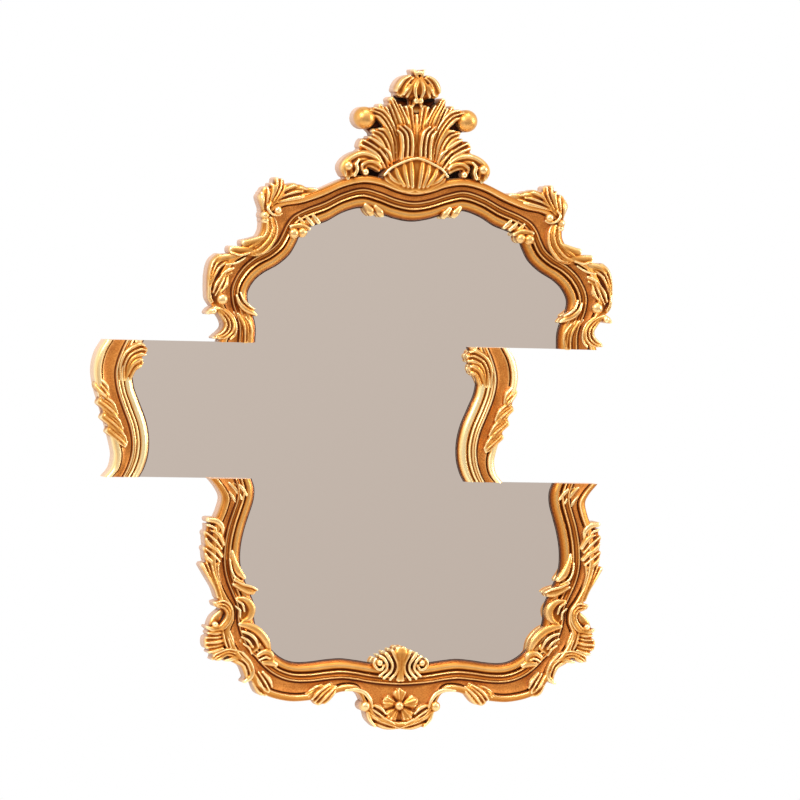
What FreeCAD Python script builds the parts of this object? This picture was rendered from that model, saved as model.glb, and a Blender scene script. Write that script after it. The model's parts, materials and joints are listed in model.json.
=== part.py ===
import FreeCAD, Part
import math
import os
from FreeCAD import Vector

os.makedirs("parts", exist_ok=True)

# A gilded rococo wall mirror whose frame is cast in slices. The middle band of
# the mirror stands a hand's width to the left of the bands above and below it.
# The origin lies on the flat back, on the axis of symmetry of the upper and
# lower bands, at the height of the two keyhole plates. The mirror faces -Y.

# Overall sizes
half_width = 313.0          # axis of symmetry to the widest side of the frame
drop = 605.0                # hanging line down to the bottom edge of the moulding
band_shift = 156.0          # how far the middle band stands to the left
wall_gap = 3.0              # back of the castings to the wall, the bumpers' height

# Where the two cuts cross the frame, as shares of the drop
upper_cut_share = -0.113
lower_cut_share = -0.450

# Glass and backing board
glass_thickness = 4.0
board_thickness = 9.0
board_inset = 2.0           # board's edge behind the glass's edge
lip_overlap = 7.0           # moulding over the glass
glass_clearance = 1.0       # glass edge to the wall of the rebate

# Section of the moulding. Fronts are heights above the casting's back.
lip_thickness = 3.0
torus_width = 14.0
torus_front = 25.5
torus_valley_front = 22.5
ridge_width = 6.0
ridge_front = 28.5
outer_ridge_front = 31.0
inner_cove_front = 28.5
outer_cove_front = 30.0
band_width = 12.0
band_front = 37.0
band_edge_front = 31.0

# Carved ornament. Its drawing is as wide as half the frame, and its places and
# widths are shares of that size, set off from a seat on the moulding.
carving_size = 313.0
carving_rise_share = 1.933  # one share upward, next to one share across
leaf_share = 0.0383         # a full leaf blade's width
leaf_crown = 5.0            # blade's edge below its crest
crest_front = 38.0
crest_high_front = 43.0
bud_front = 49.0
side_front = 41.0
wrap_front = 44.0
sight_front = 33.0
rosette_front = 38.0
ornament_clearance = 1.0    # ornament above the glass
sliver_share = 0.01         # smallest solid of a casting that is kept

# Hanging plates in the back of the board
hook_spacing = 400.0
plate_length = 46.0
plate_width = 18.0
plate_thickness = 2.0
slot_width = 5.0
slot_rise = 9.0             # entry hole up to the top of the slot
slot_end_sides = 6
entry_radius = 5.0
pocket_depth = 4.5          # behind the plate, for the hook's head
pocket_margin = 1.5         # pocket past the entry hole and the slot
plate_screw_inset = 4.5

# Clips that hold the board in the castings
clip_length = 30.0
clip_width = 10.0
clip_thickness = 1.2
clip_reach = 12.0           # clip over the board
clip_screw_inset = 5.0

# Screws
screw_radius = 1.5
screw_head_radius = 3.0
screw_head_height = 1.1
screw_length = 7.0
fastener_sides = 6

# Felt bumpers
bumper_radius = 7.0
bumper_sides = 8

overrun = 5.0

glass_front = board_thickness + glass_thickness
over_glass = glass_front + ornament_clearance
sight_high_front = sight_front + leaf_crown
rebate_width = lip_overlap + glass_clearance
upper_cut = upper_cut_share * drop
lower_cut = lower_cut_share * drop

# Stations of the moulding down the right-hand side. Each has its inner and its
# outer edge, as shares of the half width and of the drop.
upper_rail_shares = [
    ((0.000, 0.196), (0.000, 0.281)),
    ((0.090, 0.203), (0.080, 0.288)),
    ((0.180, 0.218), (0.165, 0.303)),
    ((0.255, 0.226), (0.255, 0.308)),
    ((0.340, 0.213), (0.355, 0.296)),
    ((0.415, 0.191), (0.465, 0.271)),
    ((0.480, 0.179), (0.575, 0.250)),
    ((0.520, 0.170), (0.670, 0.238)),
    ((0.545, 0.154), (0.730, 0.218)),
    ((0.563, 0.133), (0.745, 0.190)),
    ((0.595, 0.105), (0.750, 0.165)),
    ((0.650, 0.080), (0.775, 0.144)),
    ((0.720, 0.059), (0.830, 0.121)),
    ((0.765, 0.038), (0.910, 0.093)),
    ((0.793, 0.010), (0.965, 0.038)),
    ((0.788, -0.018), (0.965, -0.008)),
    ((0.765, -0.045), (0.935, -0.050)),
    ((0.750, -0.075), (0.920, -0.078)),
    ((0.750, upper_cut_share), (0.940, upper_cut_share)),
]
middle_rail_shares = [
    ((0.795, upper_cut_share), (0.995, upper_cut_share)),
    ((0.825, -0.150), (1.030, -0.145)),
    ((0.845, -0.190), (1.045, -0.185)),
    ((0.838, -0.228), (1.033, -0.228)),
    ((0.810, -0.265), (0.995, -0.288)),
    ((0.775, -0.310), (0.965, -0.338)),
    ((0.758, -0.353), (0.945, -0.375)),
    ((0.760, -0.395), (0.938, -0.400)),
    ((0.778, -0.428), (0.950, -0.428)),
    ((0.800, lower_cut_share), (0.983, lower_cut_share)),
]
lower_rail_shares = [
    ((0.750, lower_cut_share), (0.965, lower_cut_share)),
    ((0.735, -0.475), (0.925, -0.475)),
    ((0.738, -0.505), (0.905, -0.498)),
    ((0.758, -0.540), (0.918, -0.528)),
    ((0.778, -0.575), (0.940, -0.558)),
    ((0.793, -0.615), (0.958, -0.603)),
    ((0.795, -0.655), (0.963, -0.655)),
    ((0.780, -0.690), (0.943, -0.705)),
    ((0.748, -0.728), (0.905, -0.745)),
    ((0.723, -0.760), (0.873, -0.770)),
    ((0.720, -0.793), (0.868, -0.800)),
    ((0.705, -0.824), (0.885, -0.835)),
    ((0.673, -0.851), (0.830, -0.889)),
    ((0.630, -0.874), (0.778, -0.910)),
    ((0.593, -0.890), (0.740, -0.948)),
    ((0.550, -0.901), (0.670, -0.984)),
    ((0.500, -0.905), (0.555, -1.000)),
    ((0.435, -0.903), (0.450, -0.998)),
    ((0.365, -0.898), (0.365, -0.989)),
    ((0.290, -0.895), (0.285, -0.976)),
    ((0.215, -0.899), (0.210, -0.980)),
    ((0.150, -0.904), (0.170, -1.015)),
    ((0.080, -0.908), (0.115, -1.053)),
    ((0.000, -0.910), (0.000, -1.068)),
]

# Carved blades, as root, bend and tip, then the width as a share of a full leaf
# blade. A short lobe has a root and a tip only.
palmette_shares = [
    ((0.020, 0.350), (0.015, 0.430), (0.070, 0.495), 1.30),
    ((0.050, 0.355), (0.035, 0.445), (0.125, 0.508), 1.43),
    ((0.070, 0.363), (0.060, 0.450), (0.160, 0.500), 1.43),
    ((0.090, 0.375), (0.090, 0.445), (0.185, 0.488), 1.30),
]
palmette_stem_share = ((0.000, 0.350), (0.000, 0.450), (0.000, 0.545), 1.40)
palmette_front_shares = [
    ((0.035, 0.350), (0.025, 0.413), (0.090, 0.440), 1.30),
    ((0.065, 0.350), (0.070, 0.405), (0.120, 0.433), 1.00),
]
crest_shell_shares = [
    ((0.012, 0.260), (0.055, 0.355), 1.30),
    ((0.024, 0.260), (0.110, 0.341), 1.30),
    ((0.036, 0.260), (0.155, 0.320), 1.25),
]
crest_shell_centre_share = ((0.000, 0.260), (0.000, 0.360), 1.30)
bud_petal_share = ((0.012, 0.560), (0.075, 0.552), (0.095, 0.523), 1.20)
bud_lobe_shares = [
    ((0.020, 0.545), (0.052, 0.505), 1.10),
    ((0.010, 0.550), (0.040, 0.577), 0.75),
]
bud_centre_share = ((0.000, 0.545), (0.000, 0.493), 1.20)
bud_body_share = (0.000, 0.538, 0.0680)
crest_scroll_leaf_share = ((0.100, 0.345), (0.115, 0.410), (0.225, 0.423), 1.67)
crest_acanthus_shares = [
    ((0.125, 0.335), (0.165, 0.388), (0.250, 0.408), 1.59),
    ((0.130, 0.335), (0.195, 0.365), (0.280, 0.385), 1.59),
    ((0.135, 0.332), (0.205, 0.350), (0.290, 0.368), 1.45),
]
shoulder_spray_shares = [
    ((0.720, 0.212), (0.690, 0.305), 1.30),
    ((0.725, 0.212), (0.730, 0.283), 1.20),
    ((0.730, 0.212), (0.755, 0.260), 1.20),
    ((0.705, 0.220), (0.640, 0.283), 1.40),
    ((0.690, 0.226), (0.535, 0.285), 1.40),
    ((0.680, 0.226), (0.480, 0.273), 1.30),
]
shoulder_leaf_shares = [
    ((0.735, 0.195), (0.730, 0.140), (0.845, 0.133), 1.00),
    ((0.712, 0.190), (0.712, 0.115), (0.910, 0.116), 1.15),
]
side_acanthus_shares = [
    ((0.855, 0.105), (0.985, 0.105), (1.015, 0.025), 1.15),
    ((0.875, 0.090), (0.970, 0.080), (1.000, 0.000), 1.00),
    ((0.915, 0.080), (0.950, 0.045), (0.985, -0.010), 1.00),
]
sight_husk_share = ((0.605, 0.180), (0.570, 0.160), (0.520, 0.160), 1.20)
upper_sight_leaf_share = ((0.835, 0.000), (0.825, -0.028), (0.750, -0.030), 0.90)
slice_leaf_shares = [
    ((0.890, -0.150), (0.850, -0.128), (0.765, -0.138), 1.20),
    ((0.895, -0.163), (0.850, -0.150), (0.795, -0.160), 1.10),
]
slice_wrap_shares = [
    ((1.030, -0.208), (0.970, -0.250), 1.20),
    ((1.020, -0.242), (0.920, -0.298), 1.35),
    ((1.000, -0.280), (0.895, -0.333), 1.60),
    ((0.975, -0.320), (0.880, -0.370), 1.60),
]
lower_frill_shares = [
    ((0.905, -0.595), (0.995, -0.550), 1.75),
    ((0.905, -0.620), (0.990, -0.583), 1.75),
    ((0.905, -0.645), (0.990, -0.615), 1.75),
]
lower_leaf_shares = [
    ((0.885, -0.755), (0.925, -0.695), (1.000, -0.658), 1.35),
    ((0.870, -0.750), (0.900, -0.688), (0.960, -0.643), 1.35),
]
corner_shell_shares = [
    ((0.865, -0.842), (0.980, -0.832), 1.00),
    ((0.865, -0.852), (0.980, -0.850), 0.75),
    ((0.865, -0.859), (0.975, -0.864), 0.75),
    ((0.860, -0.866), (0.965, -0.878), 0.75),
]
corner_leaf_share = ((0.795, -0.888), (0.875, -0.865), (0.925, -0.898), 1.00)
corner_wrap_shares = [
    ((0.755, -0.922), (0.645, -0.975), 1.20),
    ((0.755, -0.943), (0.645, -0.990), 1.20),
]
corner_sight_shares = [
    ((0.835, -0.690), (0.755, -0.693), 0.90),
    ((0.835, -0.720), (0.705, -0.720), 1.30),
    ((0.665, -0.890), (0.600, -0.870), 1.00),
]
corner_sight_leaf_share = ((0.800, -0.822), (0.660, -0.800), (0.640, -0.858), 1.00)
bottom_wrap_shares = [
    ((0.355, -0.960), (0.480, -0.993), 1.00),
    ((0.325, -0.968), (0.410, -1.003), 1.15),
]
bottom_shell_shares = [
    ((0.020, -0.955), (0.050, -0.870), 1.00),
    ((0.040, -0.955), (0.090, -0.878), 1.00),
    ((0.060, -0.950), (0.120, -0.900), 1.00),
]
bottom_shell_centre_share = ((0.000, -0.955), (0.000, -0.863), 1.05)
garland_shares = [
    ((0.165, -1.015), (0.125, -1.060), (0.000, -1.072), 1.10),
    ((0.175, -1.020), (0.160, -1.055), (0.115, -1.066), 0.90),
    ((0.145, -1.008), (0.100, -1.045), (0.015, -1.058), 0.90),
]

# Scrolls, as the points of the spine in shares of the half width and the drop,
# each with its width as a share of a full leaf blade.
crest_scroll_shares = [
    (0.080, 0.350, 0.91),
    (0.095, 0.400, 1.05),
    (0.135, 0.435, 1.26),
    (0.190, 0.459, 1.40),
    (0.240, 0.465, 1.61),
    (0.270, 0.450, 1.40),
]
crest_foot_shares = [
    (0.145, 0.335, 0.62),
    (0.195, 0.350, 0.88),
    (0.255, 0.358, 1.06),
    (0.305, 0.353, 1.19),
    (0.335, 0.338, 1.25),
    (0.340, 0.323, 1.12),
]
crest_foot_inner_shares = [
    (0.165, 0.320, 0.62),
    (0.210, 0.336, 0.75),
    (0.255, 0.335, 0.81),
    (0.275, 0.320, 0.75),
]
side_scroll_shares = [
    (0.995, -0.033, 0.70),
    (0.955, -0.040, 0.70),
    (0.920, -0.055, 0.75),
    (0.908, -0.075, 0.75),
    (0.920, -0.093, 0.70),
    (0.955, -0.103, 0.60),
    (0.985, -0.101, 0.30),
]
corner_scroll_shares = [
    (0.940, -0.755, 0.40),
    (0.895, -0.759, 0.70),
    (0.865, -0.778, 0.80),
    (0.865, -0.803, 0.80),
    (0.895, -0.820, 0.75),
    (0.935, -0.825, 0.60),
]
corner_foot_shares = [
    (0.870, -0.883, 0.60),
    (0.830, -0.898, 0.80),
    (0.790, -0.913, 0.90),
    (0.760, -0.930, 0.90),
    (0.760, -0.945, 0.70),
    (0.780, -0.953, 0.40),
]
pendant_scroll_shares = [
    (0.240, -0.973, 0.70),
    (0.195, -0.978, 0.75),
    (0.165, -0.995, 0.75),
    (0.160, -1.013, 0.70),
]

# Balls that the scrolls end in: centre and radius
crest_ball_share = (0.253, 0.448, 0.0463)
foot_ball_share = (0.325, 0.328, 0.0431)
foot_inner_ball_share = (0.270, 0.318, 0.0288)
shoulder_volute_share = (0.700, 0.215, 0.0272)
shoulder_ball_share = (0.740, 0.202, 0.0351)
acanthus_ball_share = (0.950, -0.008, 0.0319)
side_ball_share = (0.990, -0.038, 0.0319)
corner_ball_share = (0.935, -0.810, 0.0272)
bottom_shell_ball_share = (0.125, -0.900, 0.0335)
pendant_ball_share = (0.185, -1.015, 0.0246)

rosette_share = (0.000, -1.011)
rosette_reach_share = 0.083
rosette_petals = 5
rosette_petal_width_share = 1.6
rosette_ball_share = (0.000, -1.011, 0.0233)

# Along a blade: place, share of its width and share of its front
blade_section_shares = [
    (0.00, 0.60, 0.94),
    (0.50, 1.00, 1.00),
    (1.00, 0.25, 0.90),
]
lobe_tip_share = 0.60
# A ball's outline, as shares of its radius and of its front
ball_section_shares = [(1.00, 0.00), (1.00, 0.72), (0.55, 1.00)]
ball_sides = 8

# Where each group of the carving sits on the moulding
crest_seat_share = (0.000, 0.281)
shoulder_seat_share = (0.730, 0.218)
shoulder_leaf_seat_share = (0.745, 0.150)
side_seat_share = (0.945, 0.040)
side_scroll_seat_share = (0.935, -0.050)
husk_seat_share = (0.563, 0.160)
sight_leaf_seat_share = (0.788, -0.018)
slice_leaf_seat_share = (0.845, -0.155)
slice_wrap_seat_share = (0.995, -0.288)
lower_leaf_seat_share = (0.940, -0.650)
corner_seat_share = (0.868, -0.800)
corner_foot_seat_share = (0.740, -0.948)
corner_sight_seat_shares = [(0.795, -0.690), (0.765, -0.715), (0.630, -0.890)]
corner_sight_leaf_seat_share = (0.705, -0.824)
bottom_wrap_seat_share = (0.365, -0.989)
bottom_shell_seat_share = (0.000, -0.955)
pendant_seat_share = (0.000, -1.068)


def on_face(share, front):
    """A point at a place on the frame and a height above the casting's back."""
    return Vector(share[0] * half_width, -front, share[1] * drop)


def mirrored(shape):
    return shape.mirror(Vector(0, 0, 0), Vector(1, 0, 0))


def moved_left(shape):
    copy = shape.copy()
    copy.translate(Vector(-band_shift, 0, 0))
    return copy


def joined(shapes):
    if len(shapes) == 1:
        return shapes[0]
    return shapes[0].multiFuse(shapes[1:]).removeSplitter()


def symmetric(right, centre=()):
    """A piece made of its right-hand solids, their mirror images and a centre."""
    return joined(right + [mirrored(shape) for shape in right] + list(centre))


def faceted_loft(sections):
    """Closed solid through sections of equally many points, in flat facets."""
    outlines = [sections[0], sections[-1]]
    for first, second in zip(sections, sections[1:]):
        for place, corner in enumerate(first):
            outlines.append([first[place - 1], corner, second[place]])
            outlines.append([first[place - 1], second[place], second[place - 1]])
    shell = Part.makeShell([Part.Face(Part.makePolygon(row + row[:1])) for row in outlines])
    shell.sewShape()
    solid = Part.makeSolid(shell)
    if solid.Volume < 0:
        solid.reverse()
    return solid


def turned(centre, steps, sides):
    """Solid with a many-sided round section, from its radii and fronts."""
    sections = []
    for radius, front in steps:
        turns = [2 * math.pi * side / sides for side in range(sides)]
        sections.append([
            Vector(centre.x + radius * math.cos(turn), -front, centre.z + radius * math.sin(turn))
            for turn in turns])
    return faceted_loft(sections)


# Moulding


def across(station):
    """Inner edge, unit vector to the outer edge, and width at a station."""
    inner = on_face(station[0], 0)
    outer = on_face(station[1], 0)
    reach = outer.sub(inner)
    return inner, reach.normalize(), outer.distanceToPoint(inner)


def moulding_section(station):
    """Closed section of the moulding, with the lip and rebate for the glass."""
    inner, direction, width = across(station)
    lip_front = glass_front + lip_thickness
    cove_end = width - band_width
    outline = [
        (0, glass_front),
        (0, lip_front),
        (torus_width * 0.55, torus_front),
        (torus_width, torus_valley_front),
        (torus_width + ridge_width * 0.5, ridge_front),
        (torus_width + ridge_width * 1.5, outer_ridge_front),
        (torus_width + ridge_width * 2, inner_cove_front),
        (cove_end, outer_cove_front),
        (cove_end + band_width * 0.4, band_front),
        (width, band_edge_front),
        (width, 0),
        (rebate_width, 0),
        (rebate_width, glass_front),
    ]
    points = []
    for reach, front in outline:
        place = inner + direction * reach
        points.append(Vector(place.x, place.y - front, place.z))
    return points


def moulding(rail):
    return faceted_loft([moulding_section(station) for station in rail])


def rear_centre(station):
    """Middle of the moulding's back at a station."""
    inner, direction, width = across(station)
    return inner + direction * ((rebate_width + width) / 2)


# Glass and board


def band_face(rail, cover, back):
    """Flat face inside one band of the frame, reaching under the moulding."""
    right = []
    for station in rail:
        inner, direction, width = across(station)
        place = inner + direction * cover
        right.append(Vector(place.x, -back, place.z))
    left = [Vector(-place.x, place.y, place.z) for place in reversed(right) if place.x > 0]
    outline = right + left
    return Part.Face(Part.makePolygon(outline + outline[:1]))


def stepped_face(cover, back):
    faces = [
        band_face(upper_rail_shares, cover, back),
        moved_left(band_face(middle_rail_shares, cover, back)),
        band_face(lower_rail_shares, cover, back),
    ]
    return faces[0].multiFuse(faces[1:]).removeSplitter().Faces[0]


def mirror_glass():
    return stepped_face(lip_overlap, board_thickness).extrude(Vector(0, -glass_thickness, 0))


def glass_side(station):
    """Distance from the axis to the glass's edge at a station on a cut."""
    inner, direction, width = across(station)
    return inner.x + lip_overlap


def free_edge_strips():
    """Strips along the glass's raw edges at the two cuts, to set the board back."""
    reach = 2 * half_width
    strips = []
    cuts = [(upper_cut, upper_rail_shares[-1], middle_rail_shares[0], 1),
            (lower_cut, lower_rail_shares[0], middle_rail_shares[-1], -1)]
    for level, outer_station, middle_station, side in cuts:
        right = glass_side(middle_station) - band_shift - board_inset
        left = -glass_side(outer_station) + board_inset
        for start, end, away in ((right, reach, side), (-reach, left, -side)):
            low = level if away > 0 else level - board_inset
            corner = Vector(start, -board_thickness - overrun, low)
            depth = board_thickness + 2 * overrun
            strips.append(Part.makeBox(end - start, depth, board_inset, corner))
    return strips


def backing_board():
    face = stepped_face(lip_overlap - board_inset, 0)
    board = face.extrude(Vector(0, -board_thickness, 0))
    pockets = free_edge_strips()
    for centre in plate_centres():
        pockets += [plate_outline(centre, 0, plate_thickness), hook_pocket(centre)]
    return board.cut(pockets)


# Hanging plates


def plate_centres():
    return [Vector(side * hook_spacing / 2, 0, 0) for side in (-1, 1)]


def upright_slot(centre, radius, low, high, back, depth):
    """Solid with round ends, from low to high about a centre, cut into the back."""
    corners = []
    for level, first in ((high, 0), (low, math.pi)):
        for side in range(slot_end_sides + 1):
            turn = first + math.pi * side / slot_end_sides
            corners.append(Vector(
                centre.x + radius * math.cos(turn), -back,
                centre.z + level + radius * math.sin(turn)))
    face = Part.Face(Part.makePolygon(corners + corners[:1]))
    return face.extrude(Vector(0, -depth, 0))


def plate_outline(centre, back, depth):
    reach = (plate_length - plate_width) / 2
    return upright_slot(centre, plate_width / 2, -reach, reach, back, depth)


def hook_pocket(centre):
    radius = entry_radius + pocket_margin
    return upright_slot(centre, radius, 0, slot_rise, plate_thickness, pocket_depth)


def round_hole(centre, radius, back, depth):
    start = Vector(centre.x, -back, centre.z)
    return Part.makeCylinder(radius, depth, start, Vector(0, -1, 0))


def plate_screw_places(centre):
    reach = plate_length / 2 - plate_screw_inset
    return [centre + Vector(0, 0, side * reach) for side in (-1, 1)]


def keyhole_plate(centre):
    plate = plate_outline(centre, 0, plate_thickness)
    plate = plate.cut(round_hole(centre, entry_radius, 0, plate_thickness))
    plate = plate.cut(upright_slot(centre, slot_width / 2, 0, slot_rise, 0, plate_thickness))
    for place in plate_screw_places(centre):
        plate = plate.cut(plate_screw(place))
    return plate


def plate_screw(place):
    """Countersunk screw, its head flush with the plate's back."""
    steps = [(screw_head_radius, 0), (screw_radius, plate_thickness), (screw_radius, screw_length)]
    return turned(place, steps, fastener_sides)


def plate_screws():
    places = []
    for centre in plate_centres():
        places += plate_screw_places(centre)
    return [plate_screw(place) for place in places]


# Clips


def clip_stations():
    """Stations whose inner edge carries a clip, with how far the band moved."""
    upper = [(upper_rail_shares[place], 0) for place in (3, 12)]
    middle = [(middle_rail_shares[5], band_shift)]
    lower = [(lower_rail_shares[place], 0) for place in (6, 17)]
    return upper, middle, lower


def clip_block(station, thickness, back):
    """Flat bar across the joint between a casting and the board."""
    inner, direction, width = across(station)
    side = Vector(-direction.z, 0, direction.x) * (clip_width / 2)
    start = inner + direction * (lip_overlap - clip_reach)
    end = inner + direction * (lip_overlap - clip_reach + clip_length)
    corners = [start - side, end - side, end + side, start + side]
    corners = [Vector(place.x, -back, place.z) for place in corners]
    face = Part.Face(Part.makePolygon(corners + corners[:1]))
    return face.extrude(Vector(0, thickness, 0))


def clip_screw(station):
    """Pan-head screw through a clip into the casting."""
    inner, direction, width = across(station)
    place = inner + direction * (lip_overlap - clip_reach + clip_length - clip_screw_inset)
    steps = [(screw_head_radius, -clip_thickness - screw_head_height),
             (screw_head_radius, -clip_thickness),
             (screw_radius, -clip_thickness),
             (screw_radius, screw_length)]
    return turned(place, steps, fastener_sides)


def both_sides(shape, shift):
    """Right-hand and left-hand copies of a piece on one band."""
    pair = [shape, mirrored(shape)]
    if shift:
        return [moved_left(piece) for piece in pair]
    return pair


def clips_and_screws():
    clips = []
    screws = []
    for group in clip_stations():
        for station, shift in group:
            fastener = clip_screw(station)
            clip = clip_block(station, clip_thickness, 0).cut(fastener).removeSplitter()
            clips += both_sides(clip, shift)
            screws += both_sides(fastener, shift)
    return clips, screws


def bumpers():
    pads = []
    places = [(upper_rail_shares[5], 0), (middle_rail_shares[4], band_shift),
              (lower_rail_shares[12], 0)]
    for station, shift in places:
        centre = rear_centre(station)
        pad = turned(centre, [(bumper_radius, -wall_gap), (bumper_radius, 0)], bumper_sides)
        pads += both_sides(pad, shift)
    return pads


# Carving


def ribbon_section(centre, along, width, crest, back):
    """House-shaped section: straight sides from the back and a ridged front."""
    side = Vector(-along.z, 0, along.x) * (width / 2)
    edge = crest - min(leaf_crown, width * 0.4)
    outline = [(-1, back), (1, back), (1, edge), (0, crest), (-1, edge)]
    points = []
    for offset, front in outline:
        place = centre + side * offset
        points.append(Vector(place.x, -front, place.z))
    return points


def carved(seat, share):
    """A point of the carving, set off from its seat on the frame."""
    across = (share[0] - seat[0]) * carving_size
    up = (share[1] - seat[1]) * carving_size * carving_rise_share
    return on_face(seat, 0) + Vector(across, 0, up)


def blade(seat, shares, front, back=0.0):
    """Tapered leaf blade that bends from its root to its tip."""
    root, bend, tip = [carved(seat, share) for share in shares[:3]]
    sections = []
    for step, spread, rise in blade_section_shares:
        first = root + (bend - root) * step
        last = bend + (tip - bend) * step
        centre = first + (last - first) * step
        along = (last - first).normalize()
        width = carving_size * leaf_share * shares[3] * spread
        sections.append(ribbon_section(centre, along, width, front * rise, back))
    return faceted_loft(sections)


def lobe(seat, shares, front, back=0.0):
    """Short straight lobe from its root to its tip."""
    root, tip = [carved(seat, share) for share in shares[:2]]
    along = (tip - root).normalize()
    width = carving_size * leaf_share * shares[2]
    return faceted_loft([
        ribbon_section(root, along, width, front, back),
        ribbon_section(tip, along, width * lobe_tip_share, front, back)])


def lobes(seat, table, front, back=0.0):
    return [lobe(seat, shares, front, back) for shares in table]


def blades(seat, table, front, back=0.0):
    return [blade(seat, shares, front, back) for shares in table]


def scroll(seat, table, front, back=0.0):
    """Curled band that follows the points of its spine."""
    spine = [carved(seat, row) for row in table]
    sections = []
    for place, row in enumerate(table):
        before = spine[max(place - 1, 0)]
        after = spine[min(place + 1, len(spine) - 1)]
        along = (after - before).normalize()
        width = carving_size * leaf_share * row[2]
        sections.append(ribbon_section(spine[place], along, width, front, back))
    return faceted_loft(sections)


def ball(seat, share, front, back=0.0):
    """Round boss with a domed front, from the casting's back."""
    steps = [(carving_size * share[2] * spread, back + (front - back) * rise)
             for spread, rise in ball_section_shares]
    return turned(carved(seat, share), steps, ball_sides)


def seated(shape, carriers):
    """Ornament cut to the surface of the pieces that carry it."""
    cut = shape.cut(carriers).removeSplitter()
    kept = [piece for piece in cut.Solids if piece.Volume > sliver_share * cut.Volume]
    return kept[0] if len(kept) == 1 else Part.makeCompound(kept)


def trimmed(shape, low, high):
    """Ornament kept between two heights."""
    size = 2 * (half_width + drop)
    slab = Part.makeBox(2 * size, size, high - low, Vector(-size, -size + overrun, low))
    return shape.common(slab)


def right_of_axis(shape):
    size = half_width + drop
    slab = Part.makeBox(size, size, 2 * size, Vector(0, -size + overrun, -size))
    return shape.common(slab)


def rosette():
    seat = rosette_share
    centre = carved(seat, rosette_share)
    width = carving_size * leaf_share * rosette_petal_width_share
    petals = []
    for petal in range(rosette_petals):
        turn = math.pi / 2 + 2 * math.pi * petal / rosette_petals
        along = Vector(math.cos(turn), 0, math.sin(turn))
        sections = []
        for step, spread, rise in blade_section_shares:
            place = centre + along * (carving_size * rosette_reach_share * step)
            breadth = width * max(spread, 0.6)
            sections.append(ribbon_section(place, along, breadth, rosette_front * rise, 0))
        petals.append(faceted_loft(sections))
    return joined(petals + [ball(seat, rosette_ball_share, rosette_front + leaf_crown)])


def frame_castings(upper, lower, middle, fasteners):
    frames = {
        "frame_upper": symmetric([upper]),
        "frame_lower": symmetric([lower]),
        "frame_middle_right": moved_left(middle),
        "frame_middle_left": moved_left(mirrored(middle)),
    }
    return {name: frame.cut(fasteners) for name, frame in frames.items()}


def glass_and_back(plate_screws, clips, clip_screws):
    left_plate, right_plate = [keyhole_plate(centre) for centre in plate_centres()]
    return {
        "mirror_glass": mirror_glass(),
        "backing_board": backing_board().cut(plate_screws),
        "keyhole_plate_left": left_plate,
        "keyhole_plate_right": right_plate,
        "plate_screws": Part.makeCompound(plate_screws),
        "retaining_clips": Part.makeCompound(clips),
        "clip_screws": Part.makeCompound(clip_screws),
        "wall_bumpers": Part.makeCompound(bumpers()),
    }


def crest_centre(upper):
    """Shell on the moulding, palmette on the shell and bud on the palmette's stem."""
    seat = crest_seat_share
    shell = symmetric(
        lobes(seat, crest_shell_shares, crest_high_front),
        [lobe(seat, crest_shell_centre_share, crest_high_front)])
    shell = seated(shell, [upper, mirrored(upper)])
    leaves = blades(seat, palmette_shares, crest_front)
    front_leaves = blades(seat, palmette_front_shares, crest_high_front)
    stem = blade(seat, palmette_stem_share, crest_front)
    palmette = symmetric(leaves + front_leaves, [stem])
    palmette = seated(palmette, [shell])
    petals = [blade(seat, bud_petal_share, bud_front)] + lobes(seat, bud_lobe_shares, bud_front)
    body = [lobe(seat, bud_centre_share, bud_front), ball(seat, bud_body_share, bud_front)]
    bud = symmetric(petals, body)
    return {
        "crest_shell": shell,
        "crest_palmette": palmette,
        "crest_bud": seated(bud, [palmette]),
    }


def crest_sides(upper, shell, palmette):
    seat = crest_seat_share
    curl = joined([
        scroll(seat, crest_scroll_shares, crest_front),
        blade(seat, crest_scroll_leaf_share, crest_front),
        ball(seat, crest_ball_share, crest_high_front)])
    curl = seated(curl, [shell, palmette])
    acanthus = joined(blades(seat, crest_acanthus_shares, crest_front))
    acanthus = seated(acanthus, [shell, palmette, curl])
    foot = joined([
        scroll(seat, crest_foot_shares, crest_front),
        scroll(seat, crest_foot_inner_shares, crest_front),
        ball(seat, foot_ball_share, crest_high_front),
        ball(seat, foot_inner_ball_share, crest_front)])
    foot = seated(foot, [upper, shell, curl, acanthus])
    return {"crest_scroll": curl, "crest_acanthus": acanthus, "crest_foot": foot}


def shoulder_carving(upper):
    seat = shoulder_seat_share
    spray = joined(
        lobes(seat, shoulder_spray_shares, side_front)
        + [ball(seat, shoulder_volute_share, side_front + leaf_crown),
           ball(seat, shoulder_ball_share, side_front)])
    spray = seated(spray, [upper])
    leaf = joined(blades(shoulder_leaf_seat_share, shoulder_leaf_shares, side_front))
    leaf = seated(leaf, [upper, spray])
    seat = side_seat_share
    acanthus = joined(
        blades(seat, side_acanthus_shares, side_front)
        + [ball(seat, acanthus_ball_share, side_front)])
    acanthus = seated(acanthus, [upper, leaf])
    seat = side_scroll_seat_share
    curl = joined([
        scroll(seat, side_scroll_shares, side_front),
        ball(seat, side_ball_share, side_front)])
    curl = seated(trimmed(curl, upper_cut, drop), [upper, acanthus])
    return {
        "shoulder_spray": spray,
        "shoulder_leaf": leaf,
        "side_acanthus": acanthus,
        "side_scroll": curl,
    }


def upper_sight_carving(upper):
    husk = blade(husk_seat_share, sight_husk_share, sight_front, over_glass)
    leaf = blade(sight_leaf_seat_share, upper_sight_leaf_share, sight_front, over_glass)
    return {"sight_husk": seated(husk, [upper]), "sight_leaf": seated(leaf, [upper])}


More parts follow.
